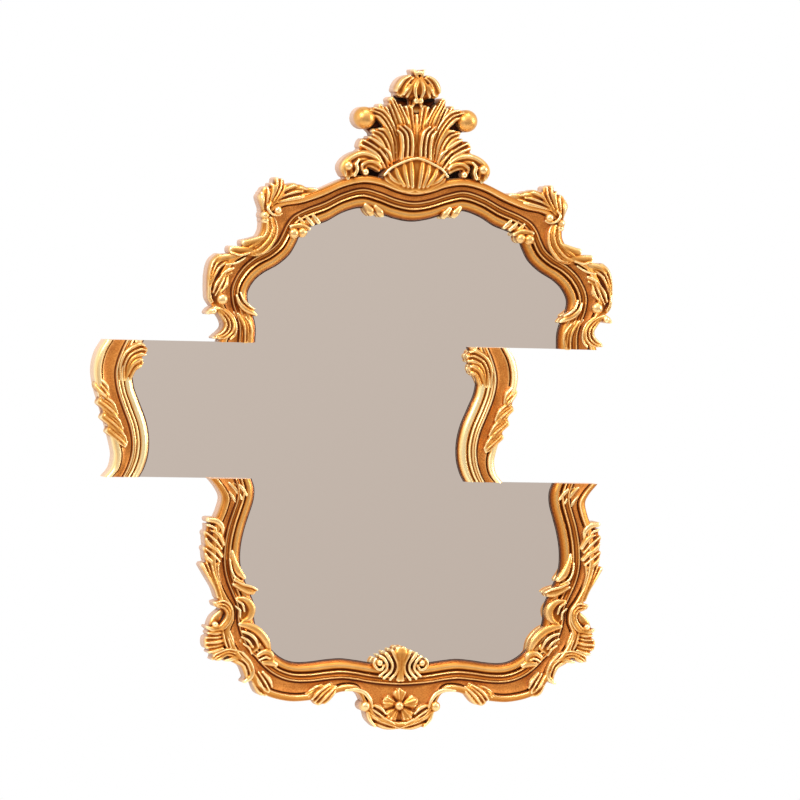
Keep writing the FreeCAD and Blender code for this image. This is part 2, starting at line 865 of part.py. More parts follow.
def corner_carving(lower):
    seat = lower_leaf_seat_share
    side_leaf = joined(
        lobes(seat, lower_frill_shares, side_front) + blades(seat, lower_leaf_shares, side_front))
    side_leaf = seated(side_leaf, [lower])
    seat = corner_seat_share
    curl = joined(
        [scroll(seat, corner_scroll_shares, side_front),
         ball(seat, corner_ball_share, side_front)]
        + lobes(seat, corner_shell_shares, side_front))
    curl = seated(curl, [lower, side_leaf])
    seat = corner_foot_seat_share
    leaf = joined(
        [blade(seat, corner_leaf_share, side_front),
         scroll(seat, corner_foot_shares, side_front)]
        + lobes(seat, corner_wrap_shares, wrap_front))
    sight_curls = [
        lobe(seat, shares, sight_front, over_glass)
        for seat, shares in zip(corner_sight_seat_shares, corner_sight_shares)]
    seat = corner_sight_leaf_seat_share
    sight_curls.append(blade(seat, corner_sight_leaf_share, sight_front, over_glass))
    return {
        "lower_leaf": side_leaf,
        "corner_scroll": curl,
        "corner_leaf": seated(leaf, [lower, curl]),
        "corner_sight_curls": seated(joined(sight_curls), [lower]),
    }


def bottom_carving(lower):
    wrap = joined(lobes(bottom_wrap_seat_share, bottom_wrap_shares, wrap_front))
    seat = pendant_seat_share
    garland = joined(
        blades(seat, garland_shares, side_front)
        + [scroll(seat, pendant_scroll_shares, side_front),
           ball(seat, pendant_ball_share, side_front)])
    return {
        "bottom_wrap": seated(wrap, [lower]),
        "pendant_garland": seated(right_of_axis(garland), [lower]),
    }


def bottom_centre(lower, garland):
    seat = bottom_shell_seat_share
    shell = symmetric(
        lobes(seat, bottom_shell_shares, sight_high_front, over_glass)
        + [ball(seat, bottom_shell_ball_share, sight_front, over_glass)],
        [lobe(seat, bottom_shell_centre_share, sight_high_front, over_glass)])
    both = [lower, mirrored(lower)]
    return {
        "bottom_shell": seated(shell, both),
        "pendant_rosette": seated(rosette(), both + [garland, mirrored(garland)]),
    }


def slice_carving(middle):
    leaf = joined(blades(slice_leaf_seat_share, slice_leaf_shares, sight_front, over_glass))
    wrap = joined(lobes(slice_wrap_seat_share, slice_wrap_shares, wrap_front))
    return {"slice_leaf": seated(leaf, [middle]), "slice_wrap": seated(wrap, [middle])}


def in_pairs(pieces):
    """Right-hand pieces and their mirror images, each under its own name."""
    parts = {}
    for name, shape in pieces.items():
        parts[name + "_right"] = shape
        parts[name + "_left"] = mirrored(shape)
    return parts


def build():
    upper = moulding(upper_rail_shares)
    middle = moulding(middle_rail_shares)
    lower = moulding(lower_rail_shares)
    clips, clip_screws = clips_and_screws()
    parts = frame_castings(upper, lower, middle, clip_screws)
    parts.update(glass_and_back(plate_screws(), clips, clip_screws))
    parts.update(crest_centre(upper))
    right = crest_sides(upper, parts["crest_shell"], parts["crest_palmette"])
    right.update(shoulder_carving(upper))
    right.update(upper_sight_carving(upper))
    right.update(corner_carving(lower))
    right.update(bottom_carving(lower))
    parts.update(bottom_centre(lower, right["pendant_garland"]))
    parts.update(in_pairs(right))
    for name, shape in in_pairs(slice_carving(middle)).items():
        parts[name] = moved_left(shape)
    return parts


for node, solid in build().items():
    volumes = ", ".join(str(round(piece.Volume)) for piece in solid.Solids)
    print(node, "valid" if solid.isValid() else "NOT VALID", len(solid.Solids), "solids", volumes)
    solid.exportStep("parts/" + node + ".step")
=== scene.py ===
# %% [markdown]
# # A gilded mirror in three slices
# A carved and gilded frame was cut into three bands, and the middle band was
# pushed to the left. The packed model settles the sizes, so this lesson loads it
# first and never changes it: finer mouldings and carving replace the plain
# castings, and every piece gets a finish.

# %% Load the frame
import bpy
import bmesh
import json
import math
import numpy as np
from collections import namedtuple
from itertools import chain
from mathutils import Matrix, Vector

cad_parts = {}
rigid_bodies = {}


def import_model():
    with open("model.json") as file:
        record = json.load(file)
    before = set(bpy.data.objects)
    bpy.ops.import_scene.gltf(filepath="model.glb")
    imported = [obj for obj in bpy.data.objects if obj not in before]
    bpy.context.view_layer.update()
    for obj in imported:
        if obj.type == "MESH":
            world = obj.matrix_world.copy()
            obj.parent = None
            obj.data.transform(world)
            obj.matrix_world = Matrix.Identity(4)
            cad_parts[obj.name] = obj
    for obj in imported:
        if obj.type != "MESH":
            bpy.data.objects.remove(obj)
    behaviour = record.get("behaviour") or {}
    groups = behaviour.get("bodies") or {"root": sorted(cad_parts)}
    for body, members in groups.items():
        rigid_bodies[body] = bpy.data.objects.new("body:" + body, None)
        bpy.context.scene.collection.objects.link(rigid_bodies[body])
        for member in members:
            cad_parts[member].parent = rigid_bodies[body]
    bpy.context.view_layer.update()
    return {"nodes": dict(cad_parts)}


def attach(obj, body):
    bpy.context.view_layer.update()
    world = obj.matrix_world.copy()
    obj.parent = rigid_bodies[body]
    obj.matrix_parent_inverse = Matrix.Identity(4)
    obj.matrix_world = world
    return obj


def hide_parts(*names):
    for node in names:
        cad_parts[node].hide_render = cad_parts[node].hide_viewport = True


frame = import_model()

# %% [markdown]
# The camera stands where the photographer stood: to the left, a little above, and
# far away with a long lens, so that the sides of the frame hardly converge.

# %% Camera
AZIMUTH = math.radians(-15.0)
ELEVATION = math.radians(2.0)
ROLL = math.radians(1.6)
DISTANCE = 8.0
TARGET = Vector((-0.0045, 0.0, -0.151))
LENS_MM = 238.3


def look_from(azimuth, elevation, distance, target, roll):
    """World matrix of a camera that looks at a target along +Y at azimuth 0."""
    back = Vector((math.sin(azimuth) * math.cos(elevation),
                   -math.cos(azimuth) * math.cos(elevation),
                   math.sin(elevation)))
    turn = (-back).to_track_quat("-Z", "Y").to_matrix().to_4x4()
    return Matrix.Translation(target + back * distance) @ turn @ Matrix.Rotation(roll, 4, "Z")


def new_object(name, data):
    """An object in the scene that shows a mesh, a lamp or a camera."""
    thing = bpy.data.objects.new(name, data)
    bpy.context.scene.collection.objects.link(thing)
    return thing


optics = bpy.data.cameras.new("portrait_lens")
optics.lens = LENS_MM
camera = new_object("camera", optics)
camera.matrix_world = look_from(AZIMUTH, ELEVATION, DISTANCE, TARGET, ROLL)
bpy.context.scene.camera = camera
print("camera at", camera.matrix_world.translation)

# %% [markdown]
# The carving is drawn on a squared sheet, with 200 squares to half the frame's
# width and 400 to the drop below the hanging line, which lies at 300. A helper
# turns a place on the sheet into metres, and another draws smooth curves.

# %% Drawing sheet
HALF_WIDTH = 0.313
DROP = 0.605
BAND_SHIFT = 0.156
MM = 0.001
SQUARE_ACROSS = HALF_WIDTH / 200
SQUARE_UP = DROP / 400
SQUARE_MM = np.array((SQUARE_ACROSS, SQUARE_UP)) / MM
AXIS = 407.0
HANGING_LINE = 300.0


def on_sheet(x, y):
    """A place on the drawing sheet, in metres."""
    return Vector(((x - AXIS) * SQUARE_ACROSS, 0, (HANGING_LINE - y) * SQUARE_UP))


def through(rows, steps):
    """Smooth rows through the given ones, by the Catmull-Rom rule."""
    rows = np.array(rows, dtype=float)
    padded = np.vstack([2 * rows[0] - rows[1], rows, 2 * rows[-1] - rows[-2]])
    result = []
    for span in range(len(rows) - 1):
        a, b, c, d = padded[span:span + 4]
        for t in np.linspace(0, 1, steps, endpoint=False):
            result.append(0.5 * (2 * b + (c - a) * t + (2 * a - 5 * b + 4 * c - d) * t ** 2
                                 + (3 * b - a - 3 * c + d) * t ** 3))
    result.append(rows[-1])
    return np.array(result)


print("sheet corner:", on_sheet(607, 700))

# %% [markdown]
# This class wraps one output socket. The usual signs add Math nodes, so that a
# mask is written like a formula.

# %% Shader helper
class Sock:
    """An output socket that can be calculated with."""

    def __init__(self, tree, socket):
        self.tree = tree
        self.socket = socket

    def node(self, kind, settings=None, inputs=None, output=0):
        """Add a node; settings come first, then the values or links of its sockets."""
        made = self.tree.nodes.new(kind)
        for name, value in (settings or {}).items():
            setattr(made, name, value)
        for name, value in (inputs or {}).items():
            plug(made.inputs[name], value)
        return Sock(self.tree, made.outputs[output])

    def maths(self, operation, first, second=0.0):
        """One Math node; some operations leave the second value unused."""
        return self.node("ShaderNodeMath", {"operation": operation}, {0: first, 1: second})

    def __add__(self, other):
        return self.maths("ADD", self, other)

    def __mul__(self, other):
        return self.maths("MULTIPLY", self, other)

    def __sub__(self, other):
        return self.maths("SUBTRACT", self, other)

    def __rsub__(self, other):
        return self.maths("SUBTRACT", other, self)

    def __abs__(self):
        return self.maths("ABSOLUTE", self)

    def step(self, low, high):
        """Rises smoothly from 0 to 1 between two values."""
        return self.node("ShaderNodeMapRange",
                         {"interpolation_type": "SMOOTHSTEP", "clamp": True},
                         {"Value": self, "From Min": low, "From Max": high})

    def between(self, first, second):
        """Mixes two colours with this socket as the factor."""
        return self.node("ShaderNodeMix", {"data_type": "RGBA"},
                         {0: self, 6: first, 7: second}, output=2)

    def ramp(self, stops):
        """The colour of this value on a ramp of (place, colour) stops."""
        made = self.node("ShaderNodeValToRGB", None, {"Fac": self})
        elements = made.socket.node.color_ramp.elements
        while len(elements) < len(stops):
            elements.new(0.5)
        for element, (place, colour) in zip(elements, stops):
            element.position = place
            element.color = colour
        return made

    def part(self, axis):
        """The X, Y or Z part of a vector."""
        return self.node("ShaderNodeSeparateXYZ", None, {"Vector": self}, output=axis)

    def facing(self):
        """How squarely the surface faces the room or the wall, from 0 to 1."""
        return abs(self.node("ShaderNodeNewGeometry", output="Normal").part("Y"))

    def noise(self, scale, detail):
        """Noise over this place, from 0 to 1."""
        return self.node("ShaderNodeTexNoise", None,
                         {"Vector": self, "Scale": scale, "Detail": detail})

    def bump(self, strength, distance):
        """This height as a bump for the shader's Normal."""
        return self.node("ShaderNodeBump", None,
                         {"Strength": strength, "Distance": distance, "Height": self})


print("a wrapped socket can:", [name for name in vars(Sock) if name[0] != "_"])

# %% [markdown]
# Each finish starts as a new material and ends by feeding its shader. Colours are
# given as they look on the screen.

# %% Material helpers
def new_material(name):
    """A material, the place on the object as a wrapped socket, and the shader node."""
    material = bpy.data.materials.new(name)
    material.use_nodes = True
    tree = material.node_tree
    place = Sock(tree, None).node("ShaderNodeTexCoord", output="Object")
    return material, place, tree.nodes["Principled BSDF"]


def plug(target, value):
    """Link a wrapped socket to an input, or set a plain value on it."""
    if isinstance(value, Sock):
        value.tree.links.new(value.socket, target)
    else:
        target.default_value = value


def feed(shader, **sockets):
    """Plug values into the shader's inputs of these names."""
    for name, value in sockets.items():
        plug(shader.inputs[name.replace("_", " ")], value)


def linear(red, green, blue):
    """A colour given as it looks on the screen, turned into the shader's linear values."""
    return tuple((c / 255) ** 2.2 for c in (red, green, blue)) + (1.0,)


print("mid grey is", round(linear(128, 128, 128)[0], 3))

# %% [markdown]
# Real gilding isn't one colour: the high places are burnished, and a brown glaze
# stays in the hollows. The colour painted from the relief also stands for light:
# painted shade in the hollows and a painted highlight on the high places. We
# measure how far each point stands out of its neighbourhood, near and wide, and
# keep that on the mesh for the material.

# %% Relief attribute
ROUNDS = (5, 14, 40)
RELIEF_SCALE = 0.00036
RELIEF_GROWTH = 0.62
SETTLING = 5
# Depth in metres over which the painted shade of low parts comes in.
PAINTED_SHADE_DEPTH = 0.016


def neighbour_average(values, first, second, counts):
    """Mean of each point's neighbours; first and second are the ends of the edges."""
    total = np.zeros_like(values)
    np.add.at(total, first, values[second])
    np.add.at(total, second, values[first])
    return total / counts[:, None]


def vectors(items, key):
    """One row of three numbers for each item of a mesh."""
    values = np.empty(len(items) * 3)
    items.foreach_get(key, values)
    return values.reshape(-1, 3)


def keep_relief(mesh, glazed_under):
    """Store how far each point stands out (1) or lies in a hollow (0).

    Below the height given as the second argument, in metres above the back, all is darker: painted
    shade in the recesses."""
    places = vectors(mesh.vertices, "co")
    normals = vectors(mesh.vertex_normals, "vector")
    ends = np.empty(len(mesh.edges) * 2, dtype=np.int32)
    mesh.edges.foreach_get("vertices", ends)
    first, second = ends[0::2], ends[1::2]
    counts = np.maximum(np.bincount(ends, minlength=len(places)), 1).astype(float)
    relief = np.zeros(len(places))
    smooth = places.copy()
    for turn in range(1, max(ROUNDS) + 1):
        smooth = neighbour_average(smooth, first, second, counts)
        if turn in ROUNDS:
            out = np.einsum("ij,ij->i", places - smooth, normals)
            relief += out / (RELIEF_SCALE * turn ** RELIEF_GROWTH) / len(ROUNDS)
    relief = relief[:, None]
    for turn in range(SETTLING):
        relief = neighbour_average(relief, first, second, counts)
    # Painted shade: the lower a point lies, the darker it is, as shade in a recess.
    deep_painted_shade = np.clip((glazed_under + places[:, 1]) / PAINTED_SHADE_DEPTH, 0, 0.5)
    relief = np.clip(0.5 + relief[:, 0] - deep_painted_shade, 0, 1)
    attribute = mesh.attributes.new("relief", "FLOAT", "POINT")
    attribute.data.foreach_set("value", relief.astype(np.float32))


print("relief is measured after rounds", ROUNDS)

# %% [markdown]
# Five colours go from the glazed hollow to the burnished edge, and they also paint
# shade into the hollows and a highlight onto the edges. Noise at two scales breaks
# them up, and a very fine bump keeps the metal from looking like plastic.
# The ground in the moulding's cove is more matte, with the stipple of a stiff
# brush. The side walls and the back keep the pale primer.

# %% Gilding
# The stops are a painted shadow, near black; glaze darkened by painted shade; amber; old gold; and
# a burnish that is also a painted highlight.
GILDING = [(0.03, linear(34, 15, 6)), (0.20, linear(88, 38, 10)), (0.43, linear(164, 94, 32)),
           (0.60, linear(218, 158, 82)), (0.88, linear(255, 238, 184))]
GROUND_DARK = linear(174, 104, 40)
GROUND_LIGHT = linear(208, 138, 64)
PRIMER = linear(206, 176, 158)
WALL_FADES = (-0.034, -0.020)
BACK_FADES = (-0.0012, -0.0004)


def gilding(name, primed):
    """Antique gold; primed is how bare the side walls are, from 0 to 1."""
    material, place, shader = new_material(name)
    relief = place.node("ShaderNodeAttribute", {"attribute_name": "relief"}, output="Fac")
    ground = place.node("ShaderNodeAttribute", {"attribute_name": "ground"}, output="Fac")
    cloud = place.noise(34.0, 4.0)
    speck = place.noise(900.0, 3.0)
    stipple = place.noise(480.0, 2.0)
    # Relief with noise: low values paint shade along with the glaze, and high ones paint a
    # highlight along with the burnish.
    glaze_and_painted_light = relief + (cloud - 0.5) * 0.14 + (speck - 0.5) * 0.10
    matte = (stipple * 0.6 + cloud * 0.4).step(0.36, 0.66).between(GROUND_DARK, GROUND_LIGHT)
    depth = place.part("Y")
    wall = (1.0 - place.facing()).step(0.72, 0.97) * depth.step(*WALL_FADES) * primed
    behind = depth.step(*BACK_FADES)
    colour = (wall + behind).between(ground.between(glaze_and_painted_light.ramp(GILDING), matte), PRIMER)
    rough = (0.43 - glaze_and_painted_light.step(0.40, 0.80) * 0.12 + (1.0 - glaze_and_painted_light.step(0.10, 0.40)) * 0.22
             + ground * 0.14 + wall * 0.2 + behind * 0.3)
    metal = (0.88 - ground * 0.40 - (wall + behind) * 0.8
             - (1.0 - glaze_and_painted_light.step(0.05, 0.40)) * 0.35)
    grain = speck * 0.5 + stipple * ground * 1.5 + cloud * 0.8
    feed(shader, Base_Color=colour, Roughness=rough, Metallic=metal,
         Normal=grain.bump(0.16, 0.0004))
    return material


gilt = gilding("antique_gold", primed=0.85)
gilt_over_glass = gilding("antique_gold_over_glass", primed=0.0)
print("gilding:", gilt.name, gilt_over_glass.name)

# %% [markdown]
# Mirror glass is a metal-bright face, darker and greener at its raw edge. The
# board, the zinc-plated fittings and the felt bumpers are only seen from behind.

# %% Other finishes
def silvered_glass():
    """Bright face with a trace of dust, and a raw edge."""
    material, place, shader = new_material("silvered_glass")
    face = place.facing().step(0.80, 0.95)
    dust = place.noise(6.0, 3.0)
    colour = face.between(linear(38, 52, 44), linear(244, 242, 238))
    rough = 0.12 - face * 0.095 + (dust - 0.5) * 0.006
    feed(shader, Base_Color=colour, Metallic=face, Roughness=rough)
    return material


def fibreboard():
    """Pressed brown fibre, cloudy at a larger scale."""
    material, place, shader = new_material("fibreboard")
    fibre = place.noise(700.0, 6.0)
    mix = (fibre * 0.7 + place.noise(12.0, 3.0) * 0.3).step(0.35, 0.65)
    colour = mix.between(linear(112, 80, 50), linear(152, 116, 78))
    feed(shader, Base_Color=colour, Roughness=0.82, Normal=fibre.bump(0.3, 0.0003))
    return material


def zinc_plate():
    """Spangled zinc with fine scratches."""
    material, place, shader = new_material("zinc_plate")
    spangle = place.node("ShaderNodeTexVoronoi", None, {"Vector": place, "Scale": 260.0})
    scratch = place.noise(1400.0, 2.0)
    colour = spangle.step(0.1, 0.8).between(linear(186, 188, 190), linear(214, 216, 218))
    rough = spangle * 0.12 + (scratch - 0.5) * 0.1 + 0.30
    feed(shader, Base_Color=colour, Metallic=1.0, Roughness=rough)
    return material


def felt():
    """Dark fuzz."""
    material, place, shader = new_material("felt")
    fuzz = place.noise(1600.0, 5.0)
    colour = fuzz.step(0.3, 0.7).between(linear(30, 26, 24), linear(66, 60, 56))
    feed(shader, Base_Color=colour, Roughness=0.95, Normal=fuzz.bump(0.8, 0.0005))
    return material


finishes = {"mirror_glass": silvered_glass(), "backing_board": fibreboard(),
            "wall_bumpers": felt()}
zinc = zinc_plate()
for name in ("keyhole_plate_left", "keyhole_plate_right", "plate_screws",
             "retaining_clips", "clip_screws"):
    finishes[name] = zinc
for name, node in frame["nodes"].items():
    node.data.materials.clear()
    node.data.materials.append(finishes.get(name, gilt))
print("finishes on nodes:", len(frame["nodes"]))

# %% [markdown]
# The moulding is one profile that travels along the outline of each band, as if
# run with a shaped scraper. A rail gives the places of the sight edge and of the
# outer edge at each station, in thousandths of the half width and of the drop.

# %% Rails and profile
UPPER_CUT = -113
LOWER_CUT = -450
UPPER_RAIL = [
    (0, 196, 0, 281), (90, 203, 80, 288), (180, 218, 165, 303), (255, 226, 255, 308),
    (340, 213, 355, 296), (415, 191, 465, 271), (480, 179, 575, 250),
    (520, 170, 670, 238), (545, 154, 730, 218), (563, 133, 745, 190),
    (595, 105, 750, 165), (650, 80, 775, 144), (720, 59, 830, 121), (765, 38, 910, 93),
    (793, 10, 965, 38), (788, -18, 965, -8), (765, -45, 935, -50), (750, -75, 920, -78),
    (750, UPPER_CUT, 940, UPPER_CUT),
]
MIDDLE_RAIL = [
    (795, UPPER_CUT, 995, UPPER_CUT), (825, -150, 1030, -145), (845, -190, 1045, -185),
    (838, -228, 1033, -228), (810, -265, 995, -288), (775, -310, 965, -338),
    (758, -353, 945, -375), (760, -395, 938, -400), (778, -428, 950, -428),
    (800, LOWER_CUT, 983, LOWER_CUT),
]
LOWER_RAIL = [
    (750, LOWER_CUT, 965, LOWER_CUT), (735, -475, 925, -475), (738, -505, 905, -498),
    (758, -540, 918, -528), (778, -575, 940, -558), (793, -615, 958, -603),
    (795, -655, 963, -655), (780, -690, 943, -705), (748, -728, 905, -745),
    (723, -760, 873, -770), (720, -793, 868, -800), (705, -824, 885, -835),
    (673, -851, 830, -889), (630, -874, 778, -910), (593, -890, 740, -948),
    (550, -901, 670, -984), (500, -905, 555, -1000), (435, -903, 450, -998),
    (365, -898, 365, -989), (290, -895, 285, -976), (215, -899, 210, -980),
    (150, -904, 170, -1015), (80, -908, 115, -1053), (0, -910, 0, -1068),
]
# Both profiles give millimetres across, height above the back, and relief from 0
# in a groove, dark as painted shade, to 1 on a burnished ridge with a painted
# highlight. The inner one counts from the sight edge outwards, the outer one from
# the outer edge. At the sight edge a relief of 0 paints the shadow line where the
# frame meets the glass.
INNER_PROFILE = [
    (0, 13.2, 0), (1.0, 13.5, 0), (1.3, 15.4, 0.1), (2.4, 18.4, 0.3),
    (4.0, 21.4, 0.4), (6.6, 24.2, 0.52), (9.6, 25.5, 0.67), (12.4, 25.2, 0.58),
    (14.8, 23.9, 0.34), (16.2, 22.9, 0.1), (17.0, 24.8, 0.34), (18, 27.8, 0.62),
    (19.0, 28.5, 0.74), (20.0, 27.9, 0.6), (20.9, 26.9, 0.34), (21.7, 26.5, 0.2),
    (23.2, 26.8, 0.42), (24.8, 27.8, 0.46), (25.5, 28.7, 0.2), (26.3, 29.8, 0.48),
    (27.2, 31.0, 0.74), (28.2, 30.8, 0.64), (29.0, 29.4, 0.4), (30.0, 28.3, 0.1),
    (31.2, 28.5, 0.26),
]
OUTER_PROFILE = [
    (-13.4, 29.9, 0.32), (-12.4, 29.2, 0.06), (-11.8, 30.8, 0.24), (-10.8, 34.2, 0.5),
    (-9.4, 36.3, 0.8), (-8.4, 37.0, 0.62), (-4.4, 36.4, 0.48), (-2.0, 34.8, 0.46),
    (-0.5, 31.8, 0.62), (0, 28.5, 0.5), (0, 14.0, 0.5), (0, 0.6, 0.46),
    (-0.6, 0.1, 0.4),
]
REBATE = [(8, 0.1, 0.3), (8, 13.2, 0.1)]
COVE_DIP = 2.2
COVE_STEPS = 9
print("stations:", len(UPPER_RAIL), len(MIDDLE_RAIL), len(LOWER_RAIL))

# %% [markdown]
# The moulding's width changes, so a hollow cove between the two profiles takes up
# what is left. The rails are of the right-hand half.

# %% Profile and both halves
def profile(width):
    """Closed profile for this width in mm: rows of across, front, relief, ground."""
    points = [row + (0.0,) for row in INNER_PROFILE]
    first = INNER_PROFILE[-1]
    last = (width + OUTER_PROFILE[0][0], OUTER_PROFILE[0][1])
    for step in range(1, COVE_STEPS):
        t = step / COVE_STEPS
        dip = COVE_DIP * 4 * t * (1 - t)
        points.append((first[0] + (last[0] - first[0]) * t,
                       first[1] + (last[1] - first[1]) * t - dip, 0.5, 1.0))
    points += [(width + across, front, relief, 0.0) for across, front, relief in OUTER_PROFILE]
    return points + [row + (0.0,) for row in REBATE]


def mirrored(rail):
    """The same rail on the left-hand side."""
    return [(-a, b, -c, d) for a, b, c, d in rail]


def both_halves(rail):
    """A rail over the whole band: the left half, mirrored, and then the right."""
    rail = rail if rail[0][0] == 0 else rail[::-1]
    return mirrored(rail)[::-1] + rail[1:]


print("profile points:", len(profile(50)))

# %% [markdown]
# Mouldings and strokes both start as a flat grid whose points are moved until it
# is a tube; merging the seam and filling the ends closes it. Each finished piece
# rides on the frame's one body and stands for the node whose name it bears.

# %% Tubes and pieces
SEAM = 1e-7


def grid_place(vert, columns, rows):
    """Column and row of a point of a new grid, whose last column meets the first."""
    return (round((vert.co.x + 1) / 2 * columns) % columns,
            round((vert.co.y + 1) / 2 * rows))


def close_up(bm):
    """Merge the seams of rolled-up grids, and fill their ends with faces."""
    bmesh.ops.remove_doubles(bm, verts=bm.verts, dist=SEAM)
    ends = [edge for edge in bm.edges if edge.is_boundary]
    return bmesh.ops.holes_fill(bm, edges=ends, sides=0)["faces"]


def as_mesh(bm, name):
    """The mesh of a finished bmesh."""
    mesh = bpy.data.meshes.new(name)
    bm.to_mesh(mesh)
    bm.free()
    return mesh


def put_on(name, mesh):
    """A piece that rides on the frame and stands for the CAD node of this name."""
    mesh.name = "gilded_" + name
    piece = new_object("gilded_" + name, mesh)
    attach(piece, "root")
    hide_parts(name)
    print(name, "faces:", len(mesh.polygons))


# %% [markdown]
# The grid has one row for each place along the rail and one column for each point
# of the profile. The two slices get a painted highlight, a lighter gilding, as they
# catch more light.

# %% Run the moulding
RAIL_STEPS = 10
GROOVE = 0.3
SHARP = math.radians(38)
# How much the slices' painted highlight lightens them.
SLICE_PAINTED_LIGHT = 0.28


def run_moulding(name, rail, shift=0.0, painted_light=0.0):
    """Run the profile along a rail; the last argument is a painted highlight that lightens all but
    the grooves.
    """
    sections = []
    for a, b, c, d in through(rail, RAIL_STEPS) / 1000:
        inner = Vector((a * HALF_WIDTH + shift, 0, b * DROP))
        outer = Vector((c * HALF_WIDTH + shift, 0, d * DROP))
        reach = outer - inner
        sections.append((inner, reach.normalized(), profile(reach.length / MM)))
    columns, rows = len(sections[0][2]), len(sections) - 1
    bm = bmesh.new()
    relief = bm.verts.layers.float.new("relief")
    ground = bm.verts.layers.float.new("ground")
    bmesh.ops.create_grid(bm, x_segments=columns, y_segments=rows, size=1.0)
    for vert in bm.verts:
        column, row = grid_place(vert, columns, rows)
        inner, direction, points = sections[row]
        across, front, glaze_and_painted_light, vert[ground] = points[column]
        # Painted highlight: on the slices, all but the grooves are lightened.
        vert[relief] = glaze_and_painted_light + painted_light if glaze_and_painted_light > GROOVE else glaze_and_painted_light
        vert.co = inner + direction * across * MM - Vector((0, front * MM, 0))
    caps = close_up(bm)
    bmesh.ops.recalc_face_normals(bm, faces=bm.faces)
    for face in bm.faces:
        face.smooth = face not in caps
    for edge in bm.edges:
        edge.smooth = edge.is_manifold and edge.calc_face_angle() < SHARP
    mesh = as_mesh(bm, name)
    mesh.materials.append(gilt)
    put_on(name, mesh)


run_moulding("frame_upper", both_halves(UPPER_RAIL))
run_moulding("frame_lower", both_halves(LOWER_RAIL))
run_moulding("frame_middle_right", MIDDLE_RAIL, -BAND_SHIFT, SLICE_PAINTED_LIGHT)
run_moulding("frame_middle_left", mirrored(MIDDLE_RAIL), -BAND_SHIFT, SLICE_PAINTED_LIGHT)

# %% [markdown]
# The carving is drawn in strokes, the way a gouge moves over the wood. A section
# says what the gouge left: a full round or a sharper rib. The sheet was drawn from
# a little to the left, so what stands further out is drawn further to the right;
# a helper takes that lean out.

# %% Sections and ends
def both_sides(*half):
    """A section from side to side, given from its middle to one side."""
    return [(-across, rise) for across, rise in half[:0:-1]] + list(half)


SECTIONS = {"round": both_sides((0, 1), (0.4, 0.93), (0.7, 0.74), (0.9, 0.44), (1, 0)),
            "rib": both_sides((0, 1), (0.36, 0.84), (0.6, 0.52), (0.8, 0.24), (1, 0))}
LEAN = 0.165
DRAWN_AT = 28.0
END_ANGLES = (0.6, 1.1, 1.45)
LONGEST_END = 2.5


def upright(x, y, front):
    """The place of what is drawn here and stands this far out."""
    return on_sheet(x - (front - DRAWN_AT) * LEAN, y)


def rounded_end(path, crown):
    """Round off the last end of a path, as a gouge leaves it."""
    along = (path[-1] - path[-2])[:2] * SQUARE_MM
    along /= np.hypot(*along)
    tips = []
    for angle in END_ANGLES:
        tip = path[-1].copy()
        tip[:2] += along * min(tip[2] / 2, LONGEST_END) * math.sin(angle) / SQUARE_MM
        tip[2:] = tip[2] * math.cos(angle), tip[3] - crown * 0.5 * (1 - math.cos(angle))
        tips.append(tip)
    return np.vstack([path, tips])


print("sections:", list(SECTIONS))

# %% [markdown]
# A stroke follows a few places on the sheet and gives its width and its height
# above the wall at each of them, in millimetres. A knob is a single round ball.

# %% Strokes and knobs
STROKE_STEPS = 6
STEEPEST = 0.8
EDGE = 0.2


def stroke(bm, section, crown, rows, back):
    """Closed rib along rows of x, y, width and front, down to the casting's back."""
    points = SECTIONS[section]
    path = through(rows, STROKE_STEPS)
    path = rounded_end(rounded_end(path, crown)[::-1], crown)[::-1]
    centres = [upright(x, y, front) for x, y, width, front in path]
    columns, last = len(points) + 2, len(path) - 1
    grid = bmesh.ops.create_grid(bm, x_segments=columns, y_segments=last, size=1.0)
    for vert in grid["verts"]:
        column, place = grid_place(vert, columns, last)
        along = (centres[min(place + 1, last)] - centres[max(place - 1, 0)]).normalized()
        side = Vector((-along.z, 0, along.x))
        width, front = path[place][2:]
        if column < len(points):
            offset, rise = points[column]
            height = max(front - min(crown, width * STEEPEST) * (1 - rise), back + EDGE)
        else:
            offset = 1 if column == len(points) else -1
            height = back
        vert.co = centres[place] + side * offset * width / 2 * MM - Vector((0, height * MM, 0))


def knob(bm, x, y, radius, front, back):
    """Round boss: a ball on a post that goes down to the casting's back."""
    centre = upright(x, y, front)
    ball_at = Matrix.Translation(centre - Vector((0, (front - radius) * MM, 0)))
    bmesh.ops.create_icosphere(bm, subdivisions=3, radius=radius * MM, matrix=ball_at)
    depth = front - radius - back
    if depth > 0:
        post_at = (Matrix.Translation(centre - Vector((0, (back + depth / 2) * MM, 0)))
                   @ Matrix.Rotation(math.radians(90), 4, "X"))
        bmesh.ops.create_cone(bm, cap_ends=True, segments=20, radius1=radius * MM,
                              radius2=radius * MM, depth=depth * MM, matrix=post_at)


def strokes(drawn, knobs, back):
    """The rods, leaves and knobs of one casting, as loose shapes."""
    bm = bmesh.new()
    for section, crown, *rows in chain(*drawn):
        stroke(bm, section, crown, rows, back)
    close_up(bm)
    for x, y, radius, front in knobs:
        knob(bm, x, y, radius, front, back)
    return bm


print("steps between two places:", STROKE_STEPS)

# %% [markdown]
# A fine voxel grid melts the strokes of a casting into one skin, which is smoothed
# a little, as by the mould and the gesso. Most castings go back to the wall. Those
# on the moulding or over the glass start higher and have no side walls in primer.

